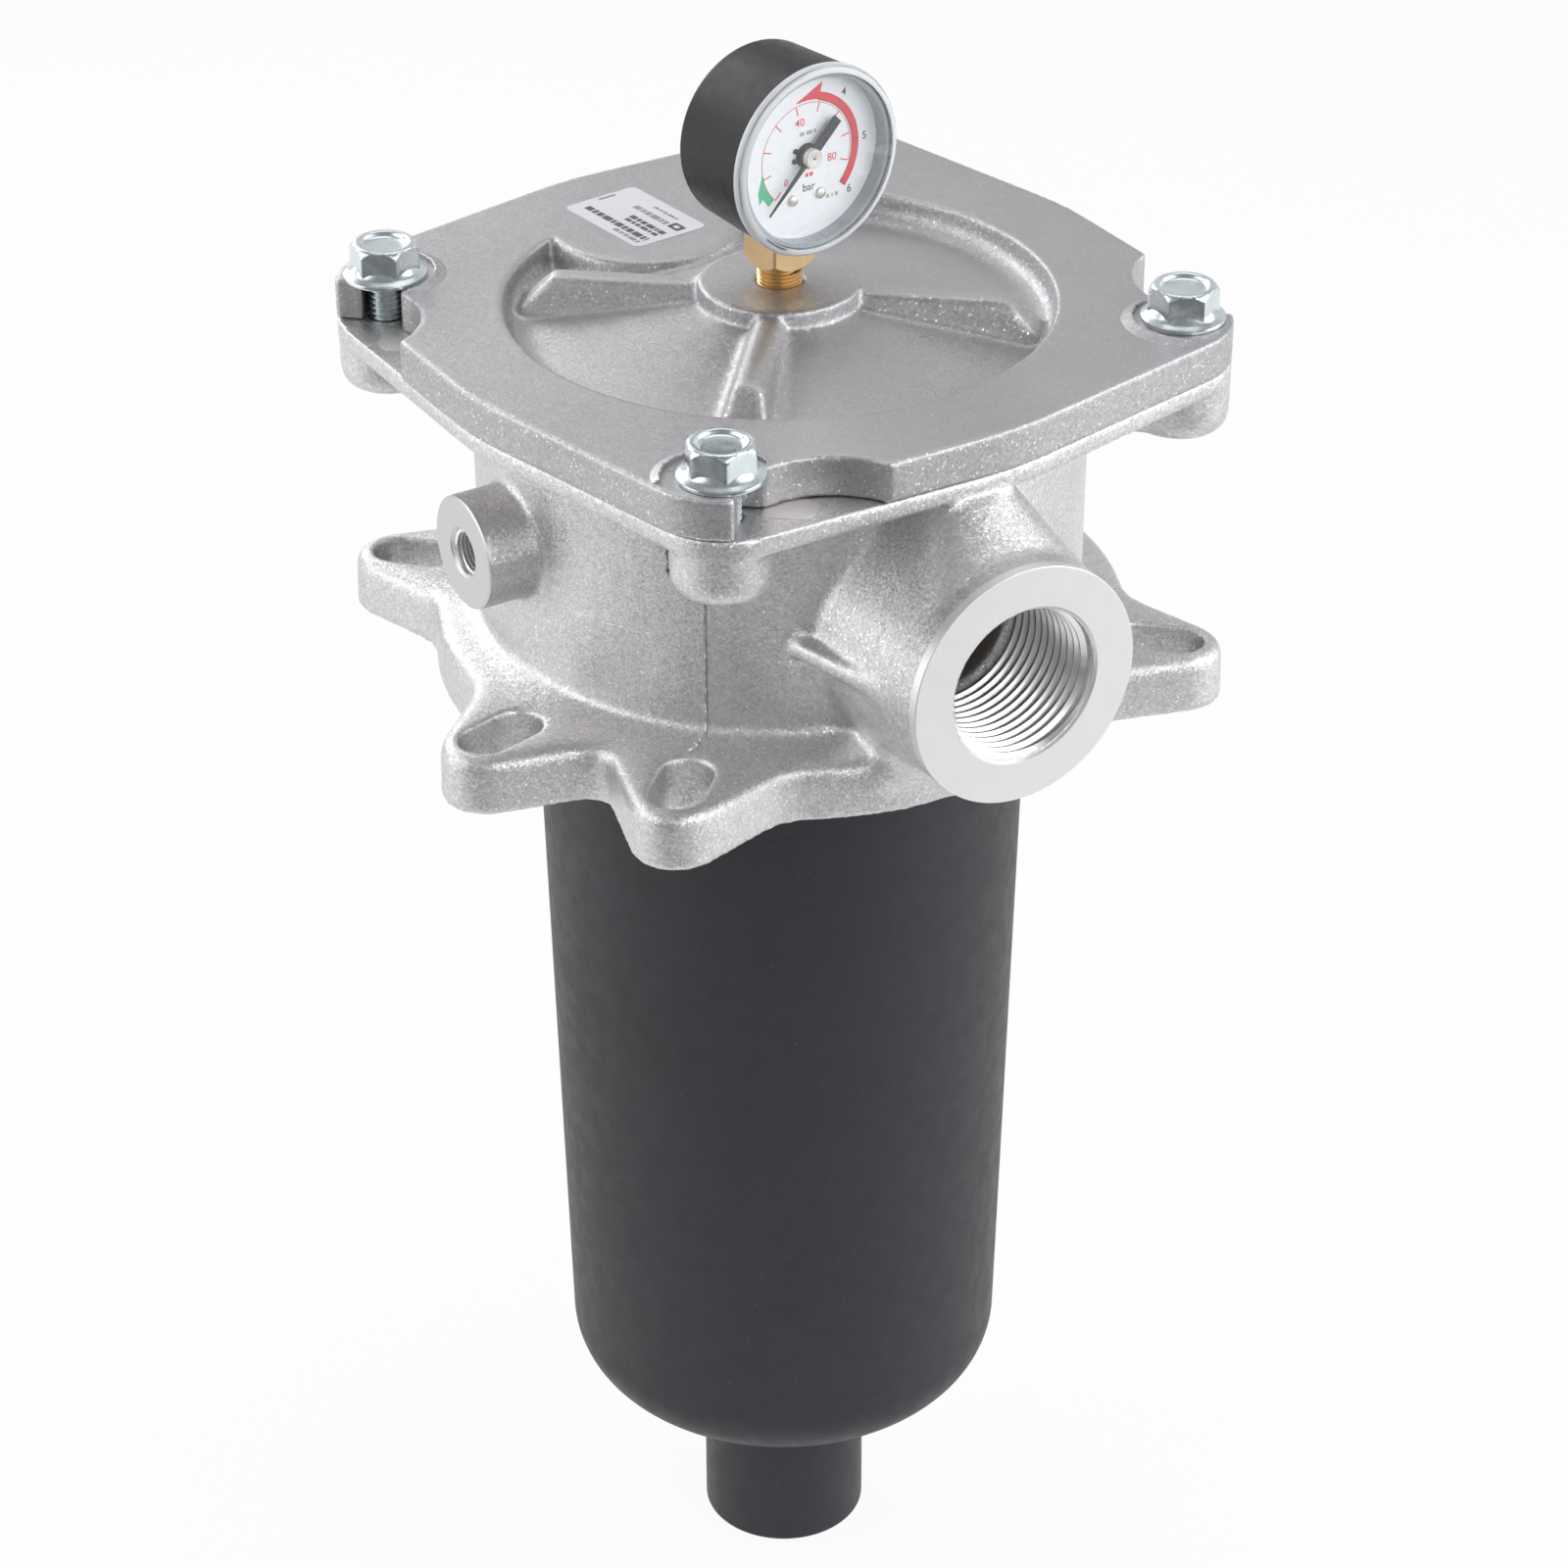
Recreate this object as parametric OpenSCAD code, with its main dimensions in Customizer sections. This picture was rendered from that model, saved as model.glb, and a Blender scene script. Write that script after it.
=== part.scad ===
// Tank-top hydraulic filter with a quick-release cover and a pressure gauge.
// Origin: centre of the tank flange underside. +Z up, +X toward the inlet port.

/* [Head casting] */
// Height of the cover joint above the flange underside
head_h = 74.2; // [68:0.1:90]
// Radius of the round head wall
body_r = 65.4; // [63:0.1:70]
// Wall thickness of the head round the filter chamber
head_wall = 6.4; // [5.6:0.1:8]
// Thickness of the tank flange
flange_t = 13; // [11:0.5:16]
// Radius of the flange between its ears
flange_r = 75; // [73:0.5:80]
// Thickness of the plate under the cover
plate_t = 4.2; // [4:0.1:8]
// Radius of that plate between its lugs
plate_r = 77.6; // [76:0.1:82]
// Radius of the bosses that take the cover bolts
lug_r = 10.5; // [8:0.1:12]
// Depth of the cover bolt bosses below the cover joint
lug_h = 15.5; // [14:0.5:24]

/* [Flange slots] */
// Radius at which the slots end outward
slot_reach = 92.8; // [90:0.1:100]
// Length of each radial slot
slot_l = 19.8; // [15:0.1:22]
// Width of each slot
slot_w = 11; // [9:0.1:13]
// Wall round the outer end of a slot
ear_wall = 4; // [3:0.1:8]
// Flare of an ear's sides toward the flange
ear_flare = 28.5; // [24:0.5:34]
// Radius of the hollow between two near ears
notch_r = 5; // [3:0.5:7]
// Radius of the hollow beside an ear
fillet_r = 14; // [8:0.5:20]

/* [Inlet port] */
// Distance of the machined inlet face from the axis
inlet_x = 94.7; // [90:0.1:105]
// Height of the inlet axis above the flange underside
inlet_z = 35.35; // [34:0.05:40]
// Outer radius of the inlet neck
inlet_r = 26; // [23:0.1:28]
// Thread radius of the inlet
inlet_bore_r = 16.6; // [14:0.1:19]
// Length of the inlet thread
inlet_thread = 29; // [16:0.5:31]
// Step from the inlet thread to the drilling behind it
inlet_step = 1.8; // [1:0.1:3]
// Thickness of the side webs of the inlet neck
web_t = 4.2; // [3:0.1:8]

/* [Side port] */
// Distance of the side port face from the axis
side_y = 76.4; // [72:0.1:90]
// Height of the side port above the flange underside
side_z = 43.5; // [32:0.1:54]
// Outer radius of the side port boss
side_r = 12.25; // [9:0.05:15]
// Thread radius of the side port
side_bore_r = 4.865; // [4:0.005:6.6]
// Depth of the side port thread
side_thread = 12; // [8:0.5:16]

/* [Cover] */
// Thickness of the cover rim
cover_t = 9; // [8:0.1:12]
// Radius of the cover between its ears
cover_r = 78; // [76:0.1:82]
// Distance of the cover bolts from the axis
bolt_pc_r = 84.15; // [83:0.05:88]
// Turn of the cover bolts from the inlet
cover_twist = 51.3; // [40:0.1:60]
// Width of the hook slots in the cover
hook_w = 9; // [8.6:0.1:10]
// Turn that frees the cover from its bolts
release_turn = 14; // [13:0.5:16]
// Radius of the scallops that clear the bolt heads
scallop_r = 19; // [18:0.1:21]
// Radius of the dished middle of the cover
dish_r = 58; // [52:0.5:60]
// Depth of the dish at its edge
dish_d = 5.9; // [4:0.1:7]
// Wall thickness of the cover under the dish
cover_wall = 6; // [5:0.1:7]
// Radius of the gauge boss
boss_r = 17.2; // [14:0.1:19]
// Height of the gauge boss above the rim
boss_h = 3.9; // [2:0.1:6]
// Width of a cover rib at its crest
rib_w = 4.5; // [3:0.5:8]
// Height of the raised crescents beside the bolts
lip_h = 0.9; // [0.4:0.1:1.4]
// Radius of the raised pad under the label
pad_r = 21; // [17:0.5:23]
// Length of the label
label_l = 27.2; // [20:0.1:30]
// Width of the label
label_w = 18.7; // [14:0.1:22]

/* [Cover bolts] */
// Thread radius of a cover bolt
bolt_r = 4; // [3:0.1:4.2]
// Radius of a bolt's flange
bolt_flange_r = 8.95; // [8:0.05:9.2]
// Width across the flats of a bolt head
bolt_af = 13; // [10:0.5:13.5]
// Height of a bolt head
bolt_head_h = 7.7; // [5:0.1:9]
// Length of a bolt under its head
bolt_l = 20; // [17:0.5:22]

/* [Bowl] */
// Width of the head's ledge that carries the bowl's collar
ledge_w = 4; // [3.8:0.1:8]
// Wall thickness of the bowl
bowl_wall = 3.5; // [2.5:0.1:5]
// Depth of the bowl's bottom below the flange underside
bowl_depth = 192; // [170:1:230]
// Taper of the bowl, millimetres of radius for each millimetre of depth
bowl_taper = 0.024; // [0:0.001:0.03]
// Radius of the bowl's bottom corner
bowl_corner = 16; // [8:0.5:20]
// Height of the bowl's collar
collar_h = 8; // [7.5:0.5:9]
// Outer radius of the outlet spigot
spigot_r = 19; // [17:0.1:20]
// Bore radius of the outlet spigot
spigot_bore_r = 15.5; // [12:0.1:16]
// Length of the spigot below the bowl
spigot_l = 45.8; // [30:0.1:60]
// Height of the neck inside the bowl that the filter element sits on
neck_h = 20; // [18:0.5:24]

/* [Filter element] */
// Gap for the oil between the filter element and the bowl's narrow end
oil_gap = 3.8; // [3:0.1:8]
// Height of the filter element's foot above the bowl's bottom
foot_h = 16; // [13:0.5:17]
// Number of pleats
pleats = 48; // [30:1:60]
// Thickness of the pleated sheet
pleat_t = 0.9; // [0.6:0.1:1.2]
// Inner radius of the perforated core
core_r = 21.2; // [21:0.1:21.6]
// Thickness of the end cap discs
cap_t = 2; // [1.5:0.1:3]
// Gap between the cover and the filter element's top
cap_gap = 11.5; // [10:0.5:14]

/* [Bypass valve] */
// Bore radius of the bypass seat
seat_r = 11; // [8:0.1:12]
// Travel of the bypass poppet
bypass_travel = 4; // [2:0.5:5]
// Length of the cage that guides the poppet
cage_h = 20; // [18:0.5:26]

/* [Gauge] */
// Height of the gauge axis above the boss
gauge_h = 30.8; // [30:0.1:40]
// Outer radius of the gauge window
gauge_r = 20.5; // [20:0.1:21]
// Length of the gauge from back to window
gauge_l = 22.9; // [22:0.1:28]
// Turn of the gauge from the inlet
gauge_turn = 6; // [-30:0.1:30]
// Thread radius of the gauge stem
stem_r = 4.865; // [4:0.005:5]
// Width of the square on the gauge stem
stem_af = 11; // [10:0.1:12]
// Length of the pointer from the hub to its tip
pointer_l = 14.8; // [12:0.1:15.5]

/* [Hidden] */
$fn = 96;
eps = 0.01;

// Fits and clearances
thread_fit = 0;
turn_gap = 0.02;
seal_clear = 0.15;
bowl_clear = 0.7;
media_gap = 0.6;
pivot_gap = 0.05;
guide_gap = 0.1;
window_clear = 0.05;

// Heights of the main planes
cover_z = head_h + cover_t;
boss_z = cover_z + boss_h;
plate_z = head_h - plate_t;
lug_z = head_h - lug_h;

// Head
chamber_r = body_r - head_wall;
bowl_bore_r = chamber_r - ledge_w;
ledge_z = flange_t - 3;
ear_tip_r = slot_w / 2 + ear_wall;
ear_x = slot_reach - slot_w / 2;
slot_in_x = slot_reach - slot_l + slot_w / 2;
ear_root_x = 50;
ear_root_r = ear_tip_r + (ear_x - ear_root_x) * sin(ear_flare);
ear_angles = [45, -45, -75, -135, 135, 165];
near_ears = [-60, 150];
lug_round = 14.5;
lug_x = bolt_pc_r + lug_r - lug_round;
lug_hole_z = lug_z + 2.5;
lug_web = lug_r * 1.7;
groove_w = 4;
groove_d = 2.8;
groove_r = (chamber_r + body_r) / 2;
draft = 0.6;

// Cover
cover_ear_round = 19;
cover_ear_x = bolt_pc_r + lug_r - cover_ear_round;
plug_r = chamber_r - seal_clear;
plug_h = 4.5;
spring_room_r = 28;
spring_seat_z = cover_z - cover_wall - 1.7;
scallop_x = bolt_pc_r + scallop_r - bolt_flange_r - 0.1;
rib_top_z = boss_z - 1.1;
dish_foot_r = dish_r - 2;
dish_floor_z = cover_z - dish_d;
pad_x = dish_r - 10;
label_t = 0.2;
label_x = pad_x + 3.9;
lip_in = bolt_flange_r + 0.45;
lip_w = 2.5;

// Bowl
collar_r = chamber_r - seal_clear;
collar_z = ledge_z + collar_h;
bowl_r = bowl_bore_r - bowl_clear;
ring_t = 1.6;
ring_bite = 1.5;
bowl_in_r = bowl_r - bowl_wall;
bowl_low_r = bowl_r - bowl_taper * (ledge_z + bowl_depth - bowl_corner);
spigot_z = -bowl_depth - spigot_l;
neck_z = -bowl_depth + neck_h;
seal_band = 4;

// Filter element
cap_top_z = spring_seat_z - cap_gap;
cap_r = bowl_low_r - bowl_wall - oil_gap;
cap_rim = 6;
media_r = cap_r - 2.5;
core_t = 1.2;
media_in_r = core_r + core_t + media_gap;
foot_z = -bowl_depth + foot_h;
foot_drop = 10;
foot_seal_z = foot_z - 7;
foot_seal_h = 4;
sleeve_r = spigot_r + 1.9;

// Springs: mean radius and wire radius
press_spring_r = 22;
press_wire = 1.1;
bypass_spring_r = 8;
bypass_wire = 0.8;

// Bypass valve
valve_r = core_r - 4.2;
valve_z = cap_top_z - cap_t - 4;
poppet_r = seat_r + 2;
poppet_t = 3;
cage_z = valve_z - cage_h;
guide_r = 2.5;
cage_floor = 2;

// Gauge, along its own axis: X forward from the stem
gauge_z = boss_z + gauge_h;
window_x = 13.9;
window_l = 2.2;
window_lip = 0.6;
window_t = window_l - window_lip - guide_gap;
window_back = window_x - window_l;
skirt_t = 1;
case_back = window_x - gauge_l;
case_r = gauge_r - 0.4;
case_draft = 0.8;
case_wall = 1.2;
dial_x = 8.1;
dial_t = 0.4;
dial_r = case_r - case_wall - 0.3;
square_z = boss_z + 5.9;
stem_low_z = boss_z - 9;
movement_x = 0;
plate_gap = 3.4;
movement_t = 0.8;
screw_y = 3.5;
screw_z = -9.07;
pivot_r = 0.6;
tooth_m = 0.2;
pinion_n = 12;
sector_n = 80;
pinion_r = tooth_m * pinion_n / 2;
sector_r = tooth_m * sector_n / 2;
sector_z = -pinion_r - sector_r;
rest_clock = -135;
pointer_sweep = 270;
sector_rest = pointer_sweep * pinion_n / sector_n / 2;
tube_r = 14.5;
tube_x = -6;
tube_w = 4;
tube_start = 201;
tube_sweep = 256;
tube_tip = tube_start + tube_sweep - 360;

// Two circles on the X axis joined by their common tangents
module link2d(x1, r1, x2, r2) {
    a = asin((r1 - r2) / (x2 - x1));
    translate([x1, 0]) circle(r1);
    translate([x2, 0]) circle(r2);
    polygon([
        [x1 + r1 * sin(a), r1 * cos(a)],
        [x2 + r2 * sin(a), r2 * cos(a)],
        [x2 + r2 * sin(a), -r2 * cos(a)],
        [x1 + r1 * sin(a), -r1 * cos(a)]
    ]);
}

// A flat slice of pie from angle a0 to a1
module wedge2d(r, a0, a1) {
    polygon([[0, 0], for (i = [0:4]) let (a = a0 + (a1 - a0) * i / 4) r * [cos(a), sin(a)]]);
}

module ring2d(r_out, r_in) {
    difference() {
        circle(r_out);
        circle(r_in);
    }
}

module tube(r_out, r_in, z0, z1) {
    translate([0, 0, z0]) difference() {
        cylinder(r = r_out, h = z1 - z0);
        translate([0, 0, -1]) cylinder(r = r_in, h = z1 - z0 + 2);
    }
}

// Something repeated at the four cover bolts
module at_bolts() {
    for (k = [0:3]) rotate(cover_twist + 90 * k) children();
}

// A round wire wound into a spring with closed ends, from z0 to z1
module spring(mean_r, wire_r, z0, z1, turns) {
    around = 24;
    sides = 8;
    steps = around * turns;
    low = z0 + wire_r;
    high = z1 - wire_r;
    function rise(u) = min(1, max(0, (u * turns - 0.75) / (turns - 1.5)));
    points = [for (i = [0:steps]) let (a = 360 * i / around, z = low + (high - low) * rise(i / steps))
        for (j = [0:sides - 1]) let (b = 360 * j / sides + 22.5, r = mean_r + wire_r * cos(b))
            [r * cos(a), r * sin(a), z + wire_r * sin(b)]];
    skin = [for (i = [0:steps - 1], j = [0:sides - 1]) let (k = (j + 1) % sides)
        [i * sides + j, i * sides + k, (i + 1) * sides + k, (i + 1) * sides + j]];
    near_end = [for (j = [sides - 1:-1:0]) j];
    far_end = [for (j = [0:sides - 1]) steps * sides + j];
    polyhedron(points = points, faces = concat(skin, [near_end, far_end]), convexity = 10);
}

// Concave corner between an ear's straight side and the round flange
module ear_fillet() {
    d = ear_x * sin(ear_flare) + ear_tip_r + fillet_r;
    s = sqrt(pow(flange_r + fillet_r, 2) - d * d);
    n = [sin(ear_flare), cos(ear_flare)];
    t = [cos(ear_flare), -sin(ear_flare)];
    c = n * d + t * s;
    difference() {
        polygon([[flange_r * 0.8, 0], c - n * fillet_r, c, c * flange_r / (flange_r + fillet_r)]);
        translate(c) circle(fillet_r);
    }
}

// Rounded hollow between two ears that stand close together
module near_fillet() {
    half = 15;
    d = ear_x * sin(ear_flare) + ear_tip_r + notch_r;
    c = d / sin(ear_flare + half);
    difference() {
        polygon([
            [flange_r * 0.8, 0],
            [c - notch_r * sin(ear_flare + half), notch_r * cos(ear_flare + half)],
            [c, 0],
            [c - notch_r * sin(ear_flare + half), -notch_r * cos(ear_flare + half)]
        ]);
        translate([c, 0]) circle(notch_r);
    }
}

module flange_outline() {
    circle(flange_r);
    for (a = ear_angles) rotate(a) link2d(ear_root_x, ear_root_r, ear_x, ear_tip_r);
    for (a = [45, -135]) rotate(a) {
        ear_fillet();
        mirror([0, 1]) ear_fillet();
    }
    rotate(-45) ear_fillet();
    rotate(165) ear_fillet();
    for (a = [-75, 135]) rotate(a) mirror([0, 1]) ear_fillet();
    for (a = near_ears) rotate(a) near_fillet();
}

module slots() {
    for (a = ear_angles) rotate(a) link2d(slot_in_x, slot_w / 2, ear_x, slot_w / 2);
}

module plate_outline() {
    at_bolts() link2d(0, plate_r, lug_x, lug_round);
}

// Hanging boss for one cover bolt, with the web that ties it to the wall
module lug() {
    soft = 4;
    translate([bolt_pc_r, 0, 0]) rotate_extrude() {
        translate([0, lug_z + soft]) square([lug_r, lug_h - soft]);
        translate([0, lug_z]) square([lug_r - soft, soft + eps]);
        translate([lug_r - soft, lug_z + soft]) intersection() {
            circle(soft);
            translate([0, -soft]) square(soft);
        }
    }
    translate([body_r - head_wall / 2, -lug_web / 2, lug_z + 1.5])
        cube([bolt_pc_r - body_r + head_wall / 2, lug_web, lug_h - 1.5]);
}

// Neck of the inlet: round at its face, with a keel that runs up to the plate
module inlet_neck() {
    keel_r = inlet_r * 0.38;
    keel_x = plate_r + 1.4 - keel_r;
    blend_x = inlet_x - 6.7;
    translate([0, 0, inlet_z]) rotate([0, 90, 0]) cylinder(r = inlet_r, h = inlet_x);
    hull() {
        translate([blend_x, 0, inlet_z]) rotate([0, 90, 0]) cylinder(r = inlet_r, h = eps);
        translate([chamber_r, 0, inlet_z]) rotate([0, 90, 0]) cylinder(r = inlet_r + 1.6, h = eps);
        translate([keel_x, 0, inlet_z]) cylinder(r = keel_r, h = plate_z - inlet_z + eps);
    }
    // Thin side webs on the parting plane of the neck
    translate([0, 0, inlet_z - web_t / 2]) linear_extrude(web_t) polygon([
        [chamber_r - 6, 0],
        [chamber_r - 6, inlet_r + 7.5],
        [inlet_x - 10, inlet_r],
        [inlet_x - 10, 0],
        [inlet_x - 10, -inlet_r],
        [chamber_r - 6, -inlet_r - 7.5]
    ]);
    // Saddle that carries the neck on the flange
    translate([0, inlet_r * 0.75, 0]) rotate([90, 0, 0]) linear_extrude(inlet_r * 1.5) polygon([
        [chamber_r, flange_t / 2],
        [flange_r, flange_t / 2],
        [flange_r, flange_t],
        [chamber_r + 4, inlet_z]
    ]);
}

module head() {
    color("silver") difference() {
        union() {
            linear_extrude(flange_t) flange_outline();
            translate([0, 0, flange_t - eps]) cylinder(r1 = flange_r - 5, r2 = body_r - draft, h = 2.2);
            cylinder(r1 = body_r - draft, r2 = body_r, h = head_h);
            translate([0, 0, plate_z]) linear_extrude(plate_t) plate_outline();
            at_bolts() lug();
            difference() {
                inlet_neck();
                translate([0, 0, -1]) cylinder(r = chamber_r + 1, h = head_h);
            }
            translate([0, 0, side_z]) rotate([90, 0, 0]) cylinder(r = side_r, h = side_y);
        }
        translate([0, 0, -1]) linear_extrude(flange_t + 10) slots();
        // Filter chamber, the ledge that carries the bowl, and the bowl's bore
        translate([0, 0, ledge_z]) cylinder(r = chamber_r, h = head_h);
        translate([0, 0, -1]) cylinder(r = bowl_bore_r, h = head_h);
        translate([0, 0, collar_z]) cylinder(r = chamber_r + ring_bite, h = ring_t);
        tube(groove_r + groove_w / 2, groove_r - groove_w / 2, head_h - groove_d, head_h + 1);
        // Inlet, side port and the threads for the cover bolts
        translate([inlet_x - inlet_thread, 0, inlet_z]) rotate([0, 90, 0]) cylinder(r = inlet_bore_r, h = inlet_thread + 1);
        translate([chamber_r - 8, 0, inlet_z]) rotate([0, 90, 0])
            cylinder(r = inlet_bore_r - inlet_step, h = inlet_x - chamber_r);
        translate([0, -side_y + side_thread, side_z]) rotate([90, 0, 0]) cylinder(r = side_bore_r, h = side_thread + 1);
        translate([0, -chamber_r + 8, side_z]) rotate([90, 0, 0]) cylinder(r = side_bore_r / 2, h = side_y - chamber_r);
        at_bolts() translate([bolt_pc_r, 0, lug_hole_z]) cylinder(r = bolt_r, h = head_h);
    }
}

module hook_slot() {
    translate([bolt_pc_r, 0]) circle(hook_w / 2);
    intersection() {
        ring2d(bolt_pc_r + hook_w / 2, bolt_pc_r - hook_w / 2);
        wedge2d(bolt_pc_r * 2, 0, release_turn);
    }
}

module cover_outline() {
    difference() {
        at_bolts() link2d(0, cover_r, cover_ear_x, cover_ear_round);
        at_bolts() hook_slot();
        at_bolts() rotate(release_turn) translate([scallop_x, 0]) circle(scallop_r);
    }
}

// Raised crescent on the inner and clockwise side of a bolt head
module lip2d() {
    run = 5;
    difference() {
        union() {
            translate([bolt_pc_r, 0]) circle(lip_in + lip_w);
            intersection() {
                circle(bolt_pc_r);
                difference() {
                    wedge2d(bolt_pc_r * 2, 0, run);
                    circle(bolt_pc_r - lip_in - lip_w);
                }
            }
        }
        translate([bolt_pc_r, 0]) circle(lip_in);
        difference() {
            wedge2d(bolt_pc_r * 2, 0, 2 * release_turn);
            circle(bolt_pc_r - lip_in);
        }
        wedge2d(bolt_pc_r * 2, run, 2 * release_turn);
        translate([bolt_pc_r + 2, -2 * lip_in]) square(4 * lip_in);
    }
}

module rib() {
    foot_w = rib_w + 8;
    low = dish_floor_z - cover_wall / 2;
    intersection() {
        rotate([90, 0, 0]) translate([0, 0, -foot_w]) linear_extrude(2 * foot_w) polygon([
            [boss_r - 3, low],
            [boss_r - 3, rib_top_z],
            [dish_r - 10, rib_top_z],
            [dish_foot_r + 0.6, dish_floor_z],
            [dish_foot_r + 0.6, low]
        ]);
        rotate([90, 0, 90]) linear_extrude(dish_r) polygon([
            [-foot_w / 2, low],
            [-rib_w / 2 - 1.2, rib_top_z - 1.6],
            [-rib_w / 2, rib_top_z],
            [rib_w / 2, rib_top_z],
            [rib_w / 2 + 1.2, rib_top_z - 1.6],
            [foot_w / 2, low]
        ]);
    }
}

module cover() {
    gauge_hole_z = stem_low_z - 2;
    color("lightgray") difference() {
        union() {
            difference() {
                translate([0, 0, head_h + turn_gap]) linear_extrude(cover_t - turn_gap) cover_outline();
                rotate_extrude() polygon([
                    [boss_r - 1, cover_z],
                    [boss_r, cover_z - 0.1],
                    [dish_foot_r - 3, dish_floor_z],
                    [dish_foot_r, dish_floor_z + 0.7],
                    [dish_foot_r + 1.4, dish_floor_z + 2.4],
                    [dish_r, cover_z],
                    [dish_r, cover_z + 10],
                    [boss_r - 1, cover_z + 10]
                ]);
            }
            intersection() {
                translate([0, 0, cover_z - eps]) linear_extrude(lip_h) at_bolts() lip2d();
                linear_extrude(cover_z + 10) cover_outline();
            }
            at_bolts() rib();
            intersection() {
                rotate(cover_twist + 135) translate([pad_x, 0, dish_floor_z - 2])
                    cylinder(r1 = pad_r + 1.5, r2 = pad_r, h = dish_d + 2);
                cylinder(r = dish_r + 1, h = cover_z);
            }
            translate([0, 0, head_h]) cylinder(r = boss_r, h = cover_t + boss_h);
            translate([0, 0, head_h - plug_h]) cylinder(r = plug_r, h = plug_h + 1);
        }
        // Hollow underside that follows the dish
        rotate_extrude() polygon([
            [spring_room_r, spring_seat_z],
            [plug_r - 5, dish_floor_z - cover_wall],
            [plug_r - 4, head_h - plug_h - 1],
            [0, head_h - plug_h - 1],
            [0, spring_seat_z - 2],
            [boss_r - 4, spring_seat_z - 2],
            [boss_r - 4, spring_seat_z]
        ]);
        translate([0, 0, stem_low_z - 1]) cylinder(r = stem_r, h = boss_h + cover_t + 10);
        translate([0, 0, head_h - plug_h]) cylinder(r = 2, h = cover_t + plug_h);
    }
}

module cover_seal() {
    // The ring is drawn squeezed into its groove
    color("black") rotate_extrude() translate([groove_r, head_h - groove_d / 2]) intersection() {
        circle(groove_w / 2);
        square([groove_w, groove_d], center = true);
    }
}

module bolt() {
    flange_t2 = 1.1;
    hex_r = bolt_af / sqrt(3);
    dish = 0.8;
    translate([0, 0, -bolt_l]) cylinder(r = bolt_r - thread_fit, h = bolt_l + 1);
    translate([0, 0, 0]) cylinder(r = bolt_flange_r, h = flange_t2);
    translate([0, 0, flange_t2]) cylinder(r1 = bolt_flange_r - 0.3, r2 = bolt_af / 2, h = 1.4);
    difference() {
        intersection() {
            cylinder(r = hex_r, h = bolt_head_h, $fn = 6);
            cylinder(r1 = hex_r + bolt_head_h, r2 = hex_r - 0.9, h = bolt_head_h);
        }
        translate([0, 0, bolt_head_h - dish]) cylinder(r1 = bolt_af / 2 - 1.9, r2 = bolt_af / 2 - 1.1, h = dish + eps);
    }
}

module cover_bolts() {
    color("lightsteelblue") at_bolts() translate([bolt_pc_r, 0, cover_z]) rotate(8) bolt();
}

module label() {
    soft = 1.5;
    color("white") rotate(cover_twist + 135) translate([label_x, 0, cover_z]) linear_extrude(label_t) {
        square([label_l - 2 * soft, label_w], center = true);
        square([label_l, label_w - 2 * soft], center = true);
        for (x = [-1, 1], y = [-1, 1])
            translate([x * (label_l / 2 - soft), y * (label_w / 2 - soft)]) circle(soft);
    }
}

// Outer or inner line of the bowl: a drafted wall and a round bottom corner
module bowl_line(inset) {
    top_r = bowl_r - inset;
    low_r = bowl_low_r - inset;
    corner = bowl_corner - inset * 0.5;
    bottom = -bowl_depth + inset;
    polygon([
        [0, ledge_z],
        [top_r, ledge_z],
        [low_r, bottom + corner],
        [low_r - corner, bottom],
        [0, bottom]
    ]);
    translate([low_r - corner, bottom + corner]) intersection() {
        circle(corner);
        translate([0, -corner]) square(corner);
    }
}

module bowl() {
    groove_in = collar_r - 2.8;
    color("dimgray") difference() {
        union() {
            rotate_extrude() difference() {
                union() {
                    bowl_line(0);
                    translate([0, ledge_z]) square([collar_r, collar_h]);
                }
                bowl_line(bowl_wall);
                translate([0, ledge_z - 1]) square([bowl_in_r, collar_h + 2]);
            }
            translate([0, 0, spigot_z]) cylinder(r = spigot_r, h = neck_z - spigot_z);
        }
        translate([0, 0, spigot_z - 1]) cylinder(r = spigot_bore_r, h = neck_z - spigot_z + 2);
        translate([0, 0, spigot_z - eps]) cylinder(r1 = spigot_bore_r + 1, r2 = spigot_bore_r, h = 1);
        tube(collar_r + 1, groove_in, ledge_z + (collar_h - seal_band) / 2, ledge_z + (collar_h + seal_band) / 2);
    }
}

module bowl_seal() {
    depth = 2.8 + seal_clear;
    color("black") rotate_extrude() translate([chamber_r - depth / 2, ledge_z + collar_h / 2]) intersection() {
        circle(seal_band / 2);
        square([depth, seal_band], center = true);
    }
}

module bowl_ring() {
    // Snap ring in the head's groove, with its two eyes
    gap = 9;
    color("darkgray") translate([0, 0, collar_z]) linear_extrude(ring_t) difference() {
        union() {
            ring2d(chamber_r + ring_bite, chamber_r - 2.4);
            for (s = [-1, 1]) rotate(90 + s * (gap + 3)) translate([chamber_r - 3.4, 0]) circle(3);
        }
        rotate(90) wedge2d(body_r * 2, -gap, gap);
        for (s = [-1, 1]) rotate(90 + s * (gap + 3)) translate([chamber_r - 3.6, 0]) circle(1.2);
    }
}

module element_top_cap() {
    color("gainsboro") difference() {
        union() {
            tube(cap_r, cap_r - 1, cap_top_z - cap_rim, cap_top_z);
            translate([0, 0, cap_top_z - cap_t]) cylinder(r = cap_r, h = cap_t);
            translate([0, 0, cap_top_z]) cylinder(r = press_spring_r - press_wire - 0.4, h = 2);
        }
        translate([0, 0, cap_top_z - cap_rim]) cylinder(r = valve_r, h = cap_rim + 4);
    }
}

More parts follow.
